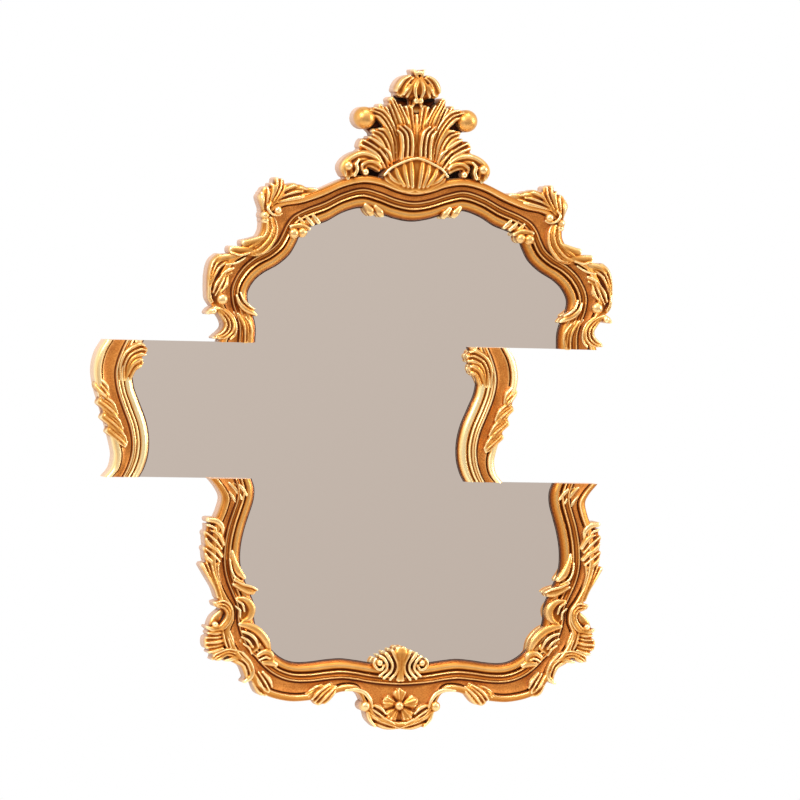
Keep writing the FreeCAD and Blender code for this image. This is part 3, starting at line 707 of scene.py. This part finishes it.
# %% Cast the strokes
# The back's height and the voxel are in millimetres. The fourth field is the height
# above the wall, in metres, under which the gilding is darkened as painted shade.
Kind = namedtuple("Kind", "back voxel gesso_rounds glazed_under finish")
TO_WALL = Kind(0.4, 0.89, 9, 0.026, gilt)
ON_MOULDING = Kind(12.0, 0.89, 9, 0.0, gilt_over_glass)
OVER_GLASS = Kind(14.2, 0.8, 9, 0.0, gilt_over_glass)
ON_PENDANT = Kind(24.0, 0.75, 5, 0.0, gilt_over_glass)


def cast(bm, kind):
    """One closed and gilded skin round all the strokes of a bmesh."""
    mesh = as_mesh(bm, "strokes")
    thing = new_object("strokes", mesh)
    remesh = thing.modifiers.new("voxels", "REMESH")
    remesh.mode = "VOXEL"
    remesh.voxel_size = kind.voxel * MM
    smooth = thing.modifiers.new("gesso", "SMOOTH")
    smooth.factor = 0.5
    smooth.iterations = kind.gesso_rounds
    graph = bpy.context.evaluated_depsgraph_get()
    skin = bpy.data.meshes.new_from_object(thing.evaluated_get(graph))
    bpy.data.objects.remove(thing)
    bpy.data.meshes.remove(mesh)
    keep_relief(skin, kind.glazed_under)
    skin.shade_smooth()
    skin.materials.append(kind.finish)
    return skin


def flipped(skin, axis):
    """Mirror image of a skin about an upright axis, with its faces turned outward."""
    image = skin.copy()
    image.transform(Matrix.Translation((2 * axis, 0, 0)) @ Matrix.Scale(-1, 4, (1, 0, 0)))
    image.flip_normals()
    return image


def carve_pair(name, drawn, knobs=(), kind=TO_WALL, axis=0.0):
    """Carve the right-hand casting of a pair, and mirror it for the left-hand one."""
    skin = cast(strokes(drawn, knobs, kind.back), kind)
    put_on(name + "_left", flipped(skin, axis))
    put_on(name + "_right", skin)


def carve_centre(name, drawn, knobs=(), kind=TO_WALL):
    """Carve a casting on the axis from the strokes of its right half."""
    bm = strokes(drawn, knobs, kind.back)
    both = bm.verts[:] + bm.edges[:] + bm.faces[:]
    bmesh.ops.mirror(bm, geom=both, axis="X", merge_dist=-1)
    put_on(name, cast(bm, kind))


print("voxels:", TO_WALL.voxel, "and", OVER_GLASS.voxel, "mm")

# %% [markdown]
# A rod is a single round stroke. A leaf is a bundle of ribs between two borders:
# wide high ribs take turns with narrow low ones, the middle ribs reach furthest,
# and a bed under them lets no light through.

# %% Rods and leaves
WIDE, NARROW, THINNEST = 1.16, 0.82, 2.5
BORDER_DROP, LOW_DROP = 1.2, 0.8
BED_CROWN, BED_TAPER, BED_SPARE = 2, 0.6, 0.5


def rod(crown, *rows):
    """One full round stroke along rows of x, y, width and front."""
    return [("round", crown, *rows)]


def leaf(count, first, last, crown=5.0, taper=0.6, bow=0.3, bed=True):
    """Strokes of a ribbed leaf between two borders, given as x, y and front."""
    first, last = np.array(first, dtype=float), np.array(last, dtype=float)
    spans = np.hypot(*((last - first)[:, :2] * SQUARE_MM).T)
    made = []
    for rib in range(count):
        t = rib / (count - 1)
        low = rib % 2
        centres = first * (1 - t) + last * t
        centres[-1] += (centres[-2] - centres[-1]) * bow * (2 * t - 1) ** 2
        widths = np.maximum(spans / (count - 1) * (NARROW if low else WIDE), THINNEST)
        widths[-1] *= taper
        fronts = centres[:, 2] - BORDER_DROP * abs(2 * t - 1) - LOW_DROP * low
        made.append(("rib", crown, *np.column_stack([centres[:, :2], widths, fronts])))
    if bed:
        middle = (first + last) / 2
        spans[-1] *= BED_TAPER
        made += rod(BED_CROWN, *[(x, y, span + BED_SPARE, front - crown)
                                 for (x, y, front), span in zip(middle, spans)])
    return made


print("a rod:", rod(3, (420, 160, 9, 30), (430, 160, 9, 30)))

# %% [markdown]
# The crest first. A fluted shell sits on the moulding, a sheaf of reeds and tall
# leaves grows out of it, and a drooping bud closes the top.

# %% Crest centre
carve_centre("crest_shell", [
    rod(6, (409.5, 189, 56, 40), (409.5, 180, 94, 42), (409.5, 170, 84, 43.5),
        (409.5, 160, 42, 43)),
    rod(2.2, (413, 187, 5, 43.5), (414.5, 175, 6.5, 45.2), (415.5, 163, 5, 44.6)),
    rod(2.2, (417, 186.5, 5, 43), (420.5, 176, 6.5, 44.8), (422, 166, 5, 44)),
    rod(2.2, (421, 186, 5, 42.5), (427, 178, 6.5, 44), (430, 170, 5, 43.5)),
    rod(2.2, (425, 184, 5, 42), (433, 179.5, 6, 43), (437, 174, 4, 43)),
    rod(2, (409.5, 158.5, 4, 45.8), (418, 160.5, 4, 45.8), (427, 164.5, 4, 45.2),
        (435, 169, 4, 44.8), (441, 176, 4, 43)),
])
carve_centre("crest_palmette", [
    rod(3, (409.5, 168, 44, 29), (409.5, 150, 50, 30), (409.5, 130, 60, 31), (409.5, 113, 76, 27),
        (409.5, 104, 72, 20)),
    leaf(4, [(408.5, 160, 39), (408.5, 135, 41), (408.5, 108, 38)],
         [(415, 158, 38), (417.5, 133, 40), (425, 107, 38)], crown=3.6),
    leaf(4, [(413.5, 152, 36), (414, 138, 38), (419, 122, 42), (430, 99.5, 43)],
         [(421, 154, 35), (425, 134, 38), (431, 118, 41), (439, 101, 42)]),
    leaf(3, [(424, 155, 34), (428, 135, 36), (434, 120, 38), (441, 104.5, 39)],
         [(428, 154, 33), (433, 136, 34), (439, 122, 36), (446, 110, 37)]),
    leaf(3, [(413.5, 160, 42), (413.5, 146, 44), (416, 133, 45), (424, 124.5, 44)],
         [(423, 160, 41), (423, 147, 43), (425, 136, 44), (429.5, 130, 42)]),
])
carve_centre("crest_bud", [
    rod(12, (410.5, 75, 12, 40), (410.5, 80, 28, 45.5), (410.5, 87, 40, 46.5),
        (410.5, 94, 42, 44.5), (410.5, 98, 32, 40)),
    leaf(3, [(413.5, 80.5, 47), (417, 86, 48.3), (419.5, 92.5, 48), (421.5, 99.5, 44.5)],
         [(418.5, 77.5, 45.5), (424.5, 81, 46.5), (428.5, 87, 46), (431.5, 94, 43)], crown=4.2),
    rod(2.4, (419, 86, 3, 47), (422.5, 91, 4, 48.2), (425, 96, 3, 46)),
    rod(3, (411, 80.5, 4, 46.5), (413.6, 86, 6, 48.3), (414.6, 92, 6, 48.3),
        (412.5, 98.5, 4.5, 46)),
    rod(2, (409, 95, 54, 19), (409, 107, 54, 19)),
    rod(4, (409, 97, 22, 33), (409, 106, 18, 31), (409, 112, 14, 31)),
    rod(2, (411, 100, 5, 38), (412, 105, 5, 37), (413, 108, 3, 35)),
    rod(3, (412, 79, 5, 46), (413.6, 75, 5, 47), (415, 71.5, 4, 46)),
], [(411.6, 74, 3.4, 48), (412, 101.5, 5, 46)])

# %% [markdown]
# Beside it stand a C-scroll with a ball in its eye, leaves that fall outward
# under it, and a foot scroll that rolls onto the moulding.

# %% Crest sides
carve_pair("crest_scroll", [
    rod(3, (428, 162, 12, 26), (434, 146, 20, 26), (444, 130, 24, 24), (454, 122, 22, 24)),
    leaf(3, [(427.5, 162, 32), (430, 146, 36), (437, 131, 39), (446, 120, 41), (455, 116, 42)],
         [(423, 160, 33), (424.5, 144, 35), (431, 127, 38), (441, 113.5, 40), (455, 108.5, 42)],
         crown=4),
    leaf(3, [(428.5, 160, 34), (432, 144, 37), (439, 132.5, 39), (449, 129.5, 40)],
         [(433, 164, 33), (438, 151, 36), (445, 140, 37), (453, 135, 38)], crown=4),
], [(460.5, 120, 17, 45)])
carve_pair("crest_acanthus", [
    leaf(4, [(430, 166, 33), (436, 153, 36), (446, 144, 38), (457, 137.5, 38)],
         [(440, 170, 31), (450, 159, 35), (458, 155, 36), (465, 152, 35)]),
    leaf(2, [(430.5, 162, 35), (434.5, 154, 38), (440, 149, 39)],
         [(433, 164, 35), (439, 157, 38), (446, 149, 39)]),
])
carve_pair("crest_foot", [
    rod(3, (436, 174, 12, 12), (446, 174, 20, 14), (458, 172, 24, 20), (470, 172, 20, 24)),
    leaf(2, [(443, 163, 36), (452, 157, 39), (463, 155.5, 42), (474, 160.5, 43), (479.5, 169, 43),
             (478, 181, 41)],
         [(446, 167, 36), (455, 162, 38), (463, 161, 41), (470, 165, 42), (472.5, 171, 42),
          (472, 180, 41)], crown=4),
    rod(3, (466, 161.5, 4, 41), (469, 166, 6, 43), (468, 171.5, 6, 43), (470, 177, 6, 42)),
    leaf(2, [(441.5, 168.5, 36), (447, 164, 38), (455, 163, 39), (461, 166.5, 39),
             (461.5, 173, 38)],
         [(443, 172, 34), (449, 168.5, 36), (455, 167.5, 37), (457.5, 170, 37), (457.5, 174, 37)],
         crown=4),
], [(477, 168, 8, 45), (458, 173.5, 5.5, 39)])

# %% [markdown]
# On the shoulders a fan of frilled leaves stands up from a small volute, and a
# long leaf of several strands leads the eye down round the bend.

# %% Shoulders
carve_pair("shoulder_spray", [
    rod(3, (548, 208, 12, 32), (530, 199, 26, 34), (512, 195, 14, 33), (504, 193, 8, 32)),
    rod(4, (556, 212, 12, 36), (552, 218, 14, 37), (551, 224, 10, 36)),
    leaf(3, [(551, 212, 39), (543, 202, 41), (538, 194, 40), (536, 188, 38)],
         [(554, 212, 40), (549, 200, 42.5), (546, 190, 43), (545.5, 180, 41)]),
    leaf(3, [(554, 212, 41), (550.5, 201, 43), (548.5, 192, 43), (551, 187.5, 41)],
         [(557.5, 214, 40), (559, 206, 42), (559, 201, 41), (557.5, 197, 39)]),
    leaf(3, [(546, 205, 39), (538, 194.5, 40), (529, 190, 39), (523, 189.5, 37)],
         [(550, 208, 38), (537, 204, 40), (524, 201, 40), (516, 200, 38)]),
    leaf(2, [(534, 195, 37), (522, 192, 38), (512, 192.5, 36)],
         [(534, 201, 37), (520, 199, 38), (509, 196.5, 36)]),
    rod(2, (552, 207, 3.5, 42), (555, 212, 4.5, 44), (551, 217.5, 4, 44), (544, 219, 3, 42),
        (540, 217, 3, 40)),
], [(545, 214, 6.5, 45), (556.5, 219, 6.5, 43), (556, 224, 5.5, 42)])
carve_pair("shoulder_leaf", [
    leaf(5, [(548, 218, 38), (544, 230, 40), (546, 243, 40), (555, 255, 40), (567, 259, 38)],
         [(554, 223, 41), (554.5, 235, 42), (560, 244, 42), (568, 250, 41), (575, 254, 39)],
         crown=4.5),
    rod(3, (556, 240, 6, 40), (564, 244, 10, 40), (571, 246.5, 11, 39), (576, 247.5, 11, 38)),
    rod(3, (568, 254, 9, 39), (577, 254.5, 12, 39), (588, 254, 12, 38)),
    rod(1.8, (571, 257, 3, 40), (580, 259, 3.5, 41), (588, 257, 3, 39)),
])

# %% [markdown]
# At the widest point of the upper band a leaf curls round the outside, with a
# C-scroll under it that the cut has sliced close to its foot.

# %% Sides of the upper band
carve_pair("side_acanthus", [
    rod(3, (596, 268, 16, 33), (603, 282, 18, 34), (603, 298, 18, 34), (599, 309, 14, 34)),
    rod(4, (576, 258, 6, 35), (586, 261, 11, 37), (596, 262.5, 11, 38), (603, 267, 8, 38)),
    rod(1.8, (573.5, 261.5, 3, 36), (582, 266.5, 3.5, 38.5), (592, 269, 3, 38.5)),
    leaf(3, [(590, 265, 38), (599, 271, 41), (604, 280, 41), (606, 288, 40)],
         [(598, 260, 38), (605, 266, 40), (608.6, 277, 41), (609, 292, 40)]),
    leaf(2, [(606, 284, 40), (608, 293, 41), (607, 301, 40), (603, 308, 38)],
         [(608.6, 280, 41), (609.4, 292, 41), (608.5, 302, 40), (604, 310, 38)]),
    leaf(2, [(585, 272, 37), (591, 274.5, 39.5), (598, 279.5, 38.5)],
         [(586, 277, 36), (593, 279.5, 38.5), (600, 283, 38)]),
    leaf(3, [(590, 281, 37), (592, 289, 39), (599, 299, 38)],
         [(596, 279, 39), (602, 288, 41), (606, 300, 40)]),
], [(596, 303, 9.5, 42)])
carve_pair("side_scroll", [
    rod(3, (593, 317, 8, 33), (586, 328, 14, 33), (592, 338, 10, 33)),
    rod(4, (596, 313, 5, 38), (602, 312, 8, 41), (606.5, 314.5, 9, 42), (609, 316.5, 6, 40)),
    leaf(3, [(600, 310.5, 40), (590, 317, 41), (584.5, 326, 41), (585, 334.5, 41),
             (591, 340.5, 40), (600, 342.5, 38)],
         [(599, 315, 40), (595, 320, 41), (591.5, 326, 41), (592, 332, 41), (596, 336.5, 41),
          (602, 339.5, 39)]),
    rod(2, (592, 312.5, 3, 36), (585, 319, 4, 38), (581.5, 328, 4, 38), (582, 337, 4, 38),
        (586, 342, 3, 37)),
], [(605, 314.5, 5, 44)])

# %% [markdown]
# Small leaves and beads reach over the glass from the sight edge, so their back
# lies higher than that of the other castings.

# %% Over the glass, upper band
carve_pair("sight_husk", [
    rod(4, (509, 231.5, 6, 30), (518, 228.5, 9, 32), (528, 230, 8, 32)),
    rod(3, (499, 225, 6, 27), (502.5, 221.5, 7, 28.6), (506, 217.5, 5, 28)),
    rod(3, (505, 227, 6, 27), (509, 223.5, 7, 28.8), (512.5, 219, 5, 28)),
    rod(3, (511.5, 228.5, 6, 27), (515.5, 225.5, 7, 29), (519, 221, 5, 28)),
    rod(4.5, (437.5, 216.5, 8, 29), (440.5, 212.5, 11, 31.5), (444.5, 207.5, 8, 29.5)),
    rod(4.5, (447.5, 215.5, 8, 29), (450.5, 211.5, 11.5, 32), (454.5, 206, 8, 30)),
], [(517, 235, 8, 34), (525.5, 236, 8.6, 35)], kind=OVER_GLASS)
carve_pair("sight_leaf", [
    rod(4, (558.5, 318, 4, 28), (563, 315.5, 8, 31), (571, 312, 9, 33.5), (577, 306.5, 7, 34),
        (579.5, 299, 4, 32)),
    rod(2, (562, 312, 3, 31), (568, 308.5, 4, 34.5), (573, 303.5, 4, 34.5), (575.5, 296, 3, 31)),
    leaf(4, [(570, 320, 30), (563.5, 330, 29), (562, 344.5, 26)],
         [(581, 316, 32), (574, 329, 31), (572.5, 344.5, 28)], crown=3, bow=0),
], kind=OVER_GLASS)

# %% [markdown]
# Each slice carries a leaf at the sight edge and leaves that wind round the outer
# band like ribbon. They are drawn where the right-hand slice stands after the
# shift, and mirrored about the shifted axis.

# %% Slices
carve_pair("slice_leaf", [
    leaf(3, [(490, 384, 30), (491, 370, 32), (486, 357, 34), (475, 349.5, 35), (466.5, 350.5, 33)],
         [(484, 382, 29), (483, 370, 31), (479, 362.5, 33), (472, 359, 34), (465.5, 359, 32)],
         crown=3.8),
    leaf(2, [(484, 380, 29), (479.5, 369.5, 32), (474, 364.5, 33), (468.5, 364.5, 31)],
         [(480.5, 384, 28), (476.5, 374, 30), (473, 371, 31), (469, 370.5, 29)], crown=3.8),
    rod(4, (486, 384, 8, 27), (482, 372, 14, 29)),
], kind=OVER_GLASS, axis=-BAND_SHIFT)
carve_pair("slice_wrap", [
    leaf(3, [(513, 383, 37), (507, 390, 42), (503.5, 400, 40)],
         [(515, 391, 36), (510, 398, 42), (505, 403.5, 40)], crown=4, bow=0),
    leaf(4, [(511, 399, 38), (501, 406.5, 43), (495, 417.5, 41)],
         [(511, 409, 37), (503, 417, 42), (496.5, 422.5, 41)], crown=4, bow=0),
    leaf(4, [(507.5, 413, 38), (496, 422, 43), (489.5, 432.5, 41)],
         [(506, 423.5, 37), (498, 432, 42), (491, 437, 41)], crown=4, bow=0),
    leaf(4, [(502.5, 427, 38), (491, 436, 43), (485, 446, 41)],
         [(500.5, 437, 37), (493, 445.5, 42), (486.5, 450.5, 41)], crown=4, bow=0),
], kind=ON_MOULDING, axis=-BAND_SHIFT)

# %% [markdown]
# The lower band has a frill of lobes down its side and a leaf that rises from the
# corner scroll. Under the corner a leaf and a foot scroll lead to the bottom edge.

# %% Lower band
carve_pair("lower_leaf", [
    rod(3, (598, 526, 16, 33), (598, 545, 18, 34), (599, 560, 16, 34)),
    rod(5, (589, 536, 5, 36), (589.5, 528, 8, 39), (595, 522, 10, 40), (603, 520.5, 8, 38)),
    rod(2, (594, 534, 3.4, 37), (597, 528.5, 4.4, 38), (603, 526, 4, 37)),
    leaf(3, [(587, 545, 37), (593, 535, 40), (602, 530, 38)],
         [(591.5, 553, 38), (600.5, 546, 40), (606, 537, 38)]),
    leaf(3, [(588.5, 557, 37), (595, 549.5, 40), (603, 546, 38)],
         [(592.5, 566, 37), (601, 560, 39), (606, 552, 38)]),
    leaf(5, [(591, 560, 36), (592, 572, 38), (589, 585, 38), (583, 602, 37)],
         [(607, 565, 38), (601, 577, 39), (595, 588, 39), (590, 602, 37)]),
])
carve_pair("corner_scroll", [
    rod(3, (585, 611, 8, 30), (591, 619, 14, 31), (595, 626, 12, 33)),
    leaf(3, [(594, 602.5, 38), (585, 601, 40), (578.5, 608, 40), (578.5, 618, 40), (584, 627, 40),
             (594, 631.5, 38)],
         [(591, 606, 38), (585, 608, 40), (582.5, 613, 41), (584, 619, 41), (589, 625, 41),
          (596, 628, 39)]),
    rod(2.5, (589, 628, 5, 38), (596, 629, 7, 39), (601, 627, 5, 38)),
    leaf(5, [(586, 632, 37), (593, 633, 40), (602, 632.5, 38)],
         [(585, 648, 37), (592, 650, 39), (600, 652, 37)], crown=3.6),
    leaf(3, [(579, 630, 36), (576, 639, 38), (573.5, 648, 37)],
         [(586, 630, 38), (584, 640, 39), (580, 649, 38)]),
], [(594.5, 624, 5, 41)])
carve_pair("corner_leaf", [
    leaf(3, [(568, 651, 38), (580, 648.5, 40), (592, 653, 40), (595, 657, 38)],
         [(572, 656, 37), (581, 654, 39), (588, 658, 39), (592, 660, 37)]),
    rod(2.5, (570, 657, 5, 36), (577, 658.5, 6, 37), (582, 659.5, 4, 36)),
    leaf(3, [(566, 652, 38), (559, 660, 40), (555.5, 668, 40), (553.5, 675, 38)],
         [(573, 659, 37), (565.5, 664, 39), (562, 671, 39), (560.5, 678, 38)]),
    rod(3, (556, 670, 6, 38), (557.5, 676, 8, 38), (563, 680.5, 5, 37)),
    leaf(3, [(546, 671, 40), (540, 679, 43), (536, 688, 42)],
         [(553, 672, 36), (549, 682, 41), (543, 690, 41)]),
    leaf(2, [(551, 680, 36), (545, 687, 40), (538, 692, 40)],
         [(553, 682, 34), (549, 690, 38), (543, 695, 37)]),
])

# %% [markdown]
# In each lower corner four curls with veined leaves reach over the glass.

# %% Over the glass, lower corners
carve_pair("corner_sight_curls", [
    rod(3, (576, 484.5, 5, 28.5), (569, 488.5, 7, 29.5), (563, 496, 5, 27)),
    rod(3, (581, 484.5, 5, 29), (575, 490.5, 7, 30), (568, 500, 5, 28)),
    rod(3, (583, 491.5, 5, 29), (578, 497.5, 6, 30), (572.5, 506, 4, 28)),
    rod(5, (576, 552, 7, 27), (574, 563, 11, 30), (570, 572, 12, 31.5), (564, 578, 8, 30)),
    rod(1.8, (579, 560, 3, 31), (578, 570, 3.6, 33.5), (574, 577.5, 3.6, 33.5), (566, 582, 3, 31)),
    rod(5, (575, 584.5, 6, 32), (568.5, 587, 11, 33.5), (560, 590.5, 13, 33), (554, 592, 9, 30.5)),
    rod(1.8, (575, 580, 3, 33), (567, 584, 3.8, 35), (557, 587, 3.8, 34), (551, 590, 3, 31)),
    rod(5, (571, 598.5, 7, 31), (562.5, 600, 11, 32), (556.5, 608, 13, 32),
        (558.5, 617.5, 11, 31.5), (565, 621.5, 6, 31)),
    rod(1.8, (572, 600, 3, 33), (566.5, 604, 4, 34), (564, 611, 3.6, 33)),
    rod(1.8, (573, 606, 3, 33), (569, 610, 4, 34), (568, 616.5, 3.4, 32.5)),
    rod(5, (568, 624, 8, 32), (560, 625.5, 12, 33), (550, 630.5, 13, 33), (541.5, 640, 12, 32),
        (537, 651, 7, 29.5)),
    rod(2.2, (566, 631, 4, 34), (559, 633.5, 5, 35.5), (553, 638.5, 5, 34.5), (549, 646, 4, 32)),
    rod(2, (566, 636.5, 3.4, 33.5), (560, 640, 4.4, 34.5), (555, 646.5, 4, 33)),
    rod(2, (564, 643.5, 3.4, 33), (559, 647, 4, 34), (555.5, 653, 3.4, 32)),
    rod(5, (549, 655, 8, 31), (543, 651.5, 10, 32), (537, 653.5, 11, 32), (535, 659.5, 9, 31)),
    rod(5, (544, 662, 9, 31), (536.5, 662, 12, 32), (530, 664.5, 9, 30)),
    rod(1.8, (548, 659.5, 3, 32), (542, 656.5, 4, 33.5), (538, 658, 3.4, 33)),
    rod(3, (563, 636, 22, 30), (551, 649, 24, 30)),
    rod(3, (564, 600, 18, 29), (562, 610, 20, 29), (566, 618, 14, 29)),
], kind=OVER_GLASS)

# %% [markdown]
# At the bottom a second shell stands up over the glass, ribbon leaves wrap the
# band beside it, and two festoons meet under the rosette.

# %% Bottom
carve_pair("bottom_wrap", [
    leaf(4, [(479, 683, 38), (487, 687, 43), (493, 692, 43), (498, 699, 40)],
         [(470, 686, 36), (476, 692, 42), (481, 698, 42), (485, 703, 39)], crown=4),
    leaf(3, [(486, 684, 37), (494, 686, 40), (502, 691, 38)],
         [(489, 689, 37), (496, 692, 40), (502, 697, 38)], crown=4),
], kind=ON_MOULDING)
carve_centre("bottom_shell", [
    rod(3, (407, 678, 30, 28), (407, 666, 24, 30), (407, 655, 34, 30)),
    rod(4, (407, 678.5, 12, 33), (407, 670, 6, 34.5), (407, 661, 8, 36), (407, 652, 15, 37),
        (407, 647, 13, 35)),
    rod(2.4, (417.5, 678, 5, 32), (412.5, 671, 4.5, 34), (411.5, 663, 4.5, 35.5),
        (415, 654, 6, 36.5), (417, 649.5, 5.5, 35)),
    rod(2.4, (423.5, 677, 5, 31), (417.5, 670, 4.5, 33), (416.5, 663, 4.5, 34.5),
        (420.5, 656, 6, 35.5), (423, 652, 5.5, 34)),
    rod(2.4, (428, 675, 4, 30), (422.5, 669, 4.5, 32), (421.5, 663.5, 4.5, 33.5),
        (425, 657.5, 5, 34.5), (428, 655, 4.5, 33)),
    rod(2.2, (424.5, 664, 4, 33), (427.5, 668, 4.5, 34), (432, 667, 4.5, 34),
        (434.5, 662, 4.5, 33.5), (432.5, 657.5, 4, 33)),
], [(429.5, 661.5, 5.2, 36)], kind=OVER_GLASS)
carve_pair("pendant_garland", [
    rod(3, (438, 706, 14, 34), (431, 716, 14, 34), (420, 722.5, 10, 34), (407.5, 725, 8, 34)),
    leaf(3, [(437, 703, 38), (429, 706, 40), (420.5, 714.5, 39)],
         [(441, 709, 37), (435, 715.5, 39), (425, 720, 38)]),
    leaf(3, [(431.5, 715, 37), (420.5, 718.5, 39.5), (409.5, 724.6, 38.5)],
         [(434.5, 721, 36), (423, 725.6, 38), (407.6, 728, 37)], taper=0.4),
    rod(2.5, (441, 711, 4, 37), (438.5, 718, 5, 38), (432.5, 725, 3, 37)),
    rod(3, (463, 688.5, 4, 37), (454, 688, 6, 39), (445, 691, 7, 40), (439.5, 698, 6, 40),
        (437, 705, 4, 39)),
], [(444, 704.5, 8.3, 41.5)])

# %% [markdown]
# The rosette hangs on the middle of the pendant. Each petal is a rounded body with
# a small ribbed leaf on it, turned a fifth of a circle from the last.

# %% Rosette
ROSETTE = (408, 704)
STRETCH = (1.08, -0.96)
PETALS = 5
PETAL_BODY = [(4, 8, 31), (12, 17, 33.5), (20, 23, 36), (25, 15, 35.5)]
PETAL_BORDER = [(6, 33.2), (15, 36), (25, 38.4)]
HALF_PETAL = 18


def petal_place(angle, reach):
    """The place on the sheet this many millimetres out from the rosette's centre."""
    turn = math.radians(angle)
    out = np.array((math.cos(turn), math.sin(turn))) * STRETCH * reach
    return ROSETTE + out / SQUARE_MM


petals = []
for petal in range(PETALS):
    angle = 90 + 360 / PETALS * petal
    petals.append(rod(6, *[(*petal_place(angle, reach), width, front)
                           for reach, width, front in PETAL_BODY]))
    borders = [[(*petal_place(angle + lean, reach), front) for reach, front in PETAL_BORDER]
               for lean in (-HALF_PETAL, HALF_PETAL)]
    petals.append(leaf(4, *borders, crown=2.4, taper=0.8, bow=0.35, bed=False))
put_on("pendant_rosette", cast(strokes(petals, [(*ROSETTE, 7, 41)], ON_PENDANT.back), ON_PENDANT))
gilded = [thing for thing in bpy.data.objects if thing.name.startswith("gilded_")]
print("gilded pieces:", len(gilded), "faces:", sum(len(g.data.polygons) for g in gilded))

# %% [markdown]
# The studio is white behind the mirror, and warm and dim in front of it, because
# the glass shows what stands behind the photographer. Soft boxes on both sides
# and above draw long highlights along the gilded ridges.

# %% Studio room
WALL_WARM = linear(208, 196, 188)
WALL_DIM = linear(190, 176, 167)
CEILING = linear(120, 100, 84)
GROUND_SHADE = linear(96, 66, 44)
HIGH_BOX = (1.25, 1.17, 1.05, 1.0)
SIDE_BOXES = (1.4, 1.32, 1.18, 1.0)
BEHIND = (1.0, 0.97, 0.93, 1.0)
WHITE = (1.0, 1.0, 1.0, 1.0)
world = bpy.data.worlds.new("studio")
bpy.context.scene.world = world
world.use_nodes = True
way = Sock(world.node_tree, None).node("ShaderNodeTexCoord", output="Generated")
east, north, up = [way.part(axis) for axis in "XYZ"]
room = (up * 2.6 - east * 1.6 + 1.12).step(0.0, 1.0).between(WALL_DIM, WALL_WARM)
room = up.step(0.28, 0.42).between(room, HIGH_BOX)
room = up.step(0.80, 0.95).between(room, CEILING)
room = (0.0 - up).step(0.22, 0.55).between(room, GROUND_SHADE)
boxes = abs(east).step(0.80, 0.90) * (1.0 - abs(up).step(0.30, 0.50))
room = boxes.between(room, SIDE_BOXES)
room = north.step(-0.15, 0.35).between(room, BEHIND)
seen = way.node("ShaderNodeLightPath", output="Is Camera Ray")
feed(world.node_tree.nodes["Background"], Color=seen.between(room, WHITE))
print("world:", world.name)

# %% [markdown]
# Three lamps shape the relief: a strong one from the upper left, a narrow one on
# the right, and one above. A pale floor lies well under the mirror.

# %% Lamps and floor
LAMP_COLOUR = (1.0, 0.96, 0.9)
FLOOR_REACH = 2.4
FLOOR_PLACE = (0, 0.2, -1.35)


def soft_lamp(name, place, target, size, watts):
    """A rectangular lamp at a place, turned to a target."""
    lamp = bpy.data.lights.new(name, "AREA")
    lamp.shape = "RECTANGLE"
    lamp.size, lamp.size_y = size
    lamp.energy = watts
    lamp.color = LAMP_COLOUR
    thing = new_object(name, lamp)
    thing.location = place
    thing.rotation_euler = (Vector(target) - Vector(place)).to_track_quat("-Z", "Y").to_euler()


soft_lamp("key_left", (-2.4, -2.2, 2.0), target=(0, 0, 0), size=(0.7, 1.2), watts=86)
soft_lamp("fill_right", (2.8, -1.4, 0.6), target=(0, 0, -0.1), size=(0.4, 1.6), watts=44)
soft_lamp("top", (0.2, -1.0, 2.6), target=(0, 0, 0), size=(1.4, 0.4), watts=34)
sheet = bmesh.new()
bmesh.ops.create_grid(sheet, x_segments=1, y_segments=1, size=FLOOR_REACH)
bmesh.ops.translate(sheet, verts=sheet.verts, vec=FLOOR_PLACE)
floor = new_object("floor", as_mesh(sheet, "floor"))
paint, place, shader = new_material("pale_floor")
feed(shader, Base_Color=linear(236, 234, 230), Roughness=0.7)
floor.data.materials.append(paint)
bpy.context.scene.view_settings.view_transform = "Standard"
print("lamps:", [lamp.name for lamp in bpy.data.lights])

# %% [markdown]
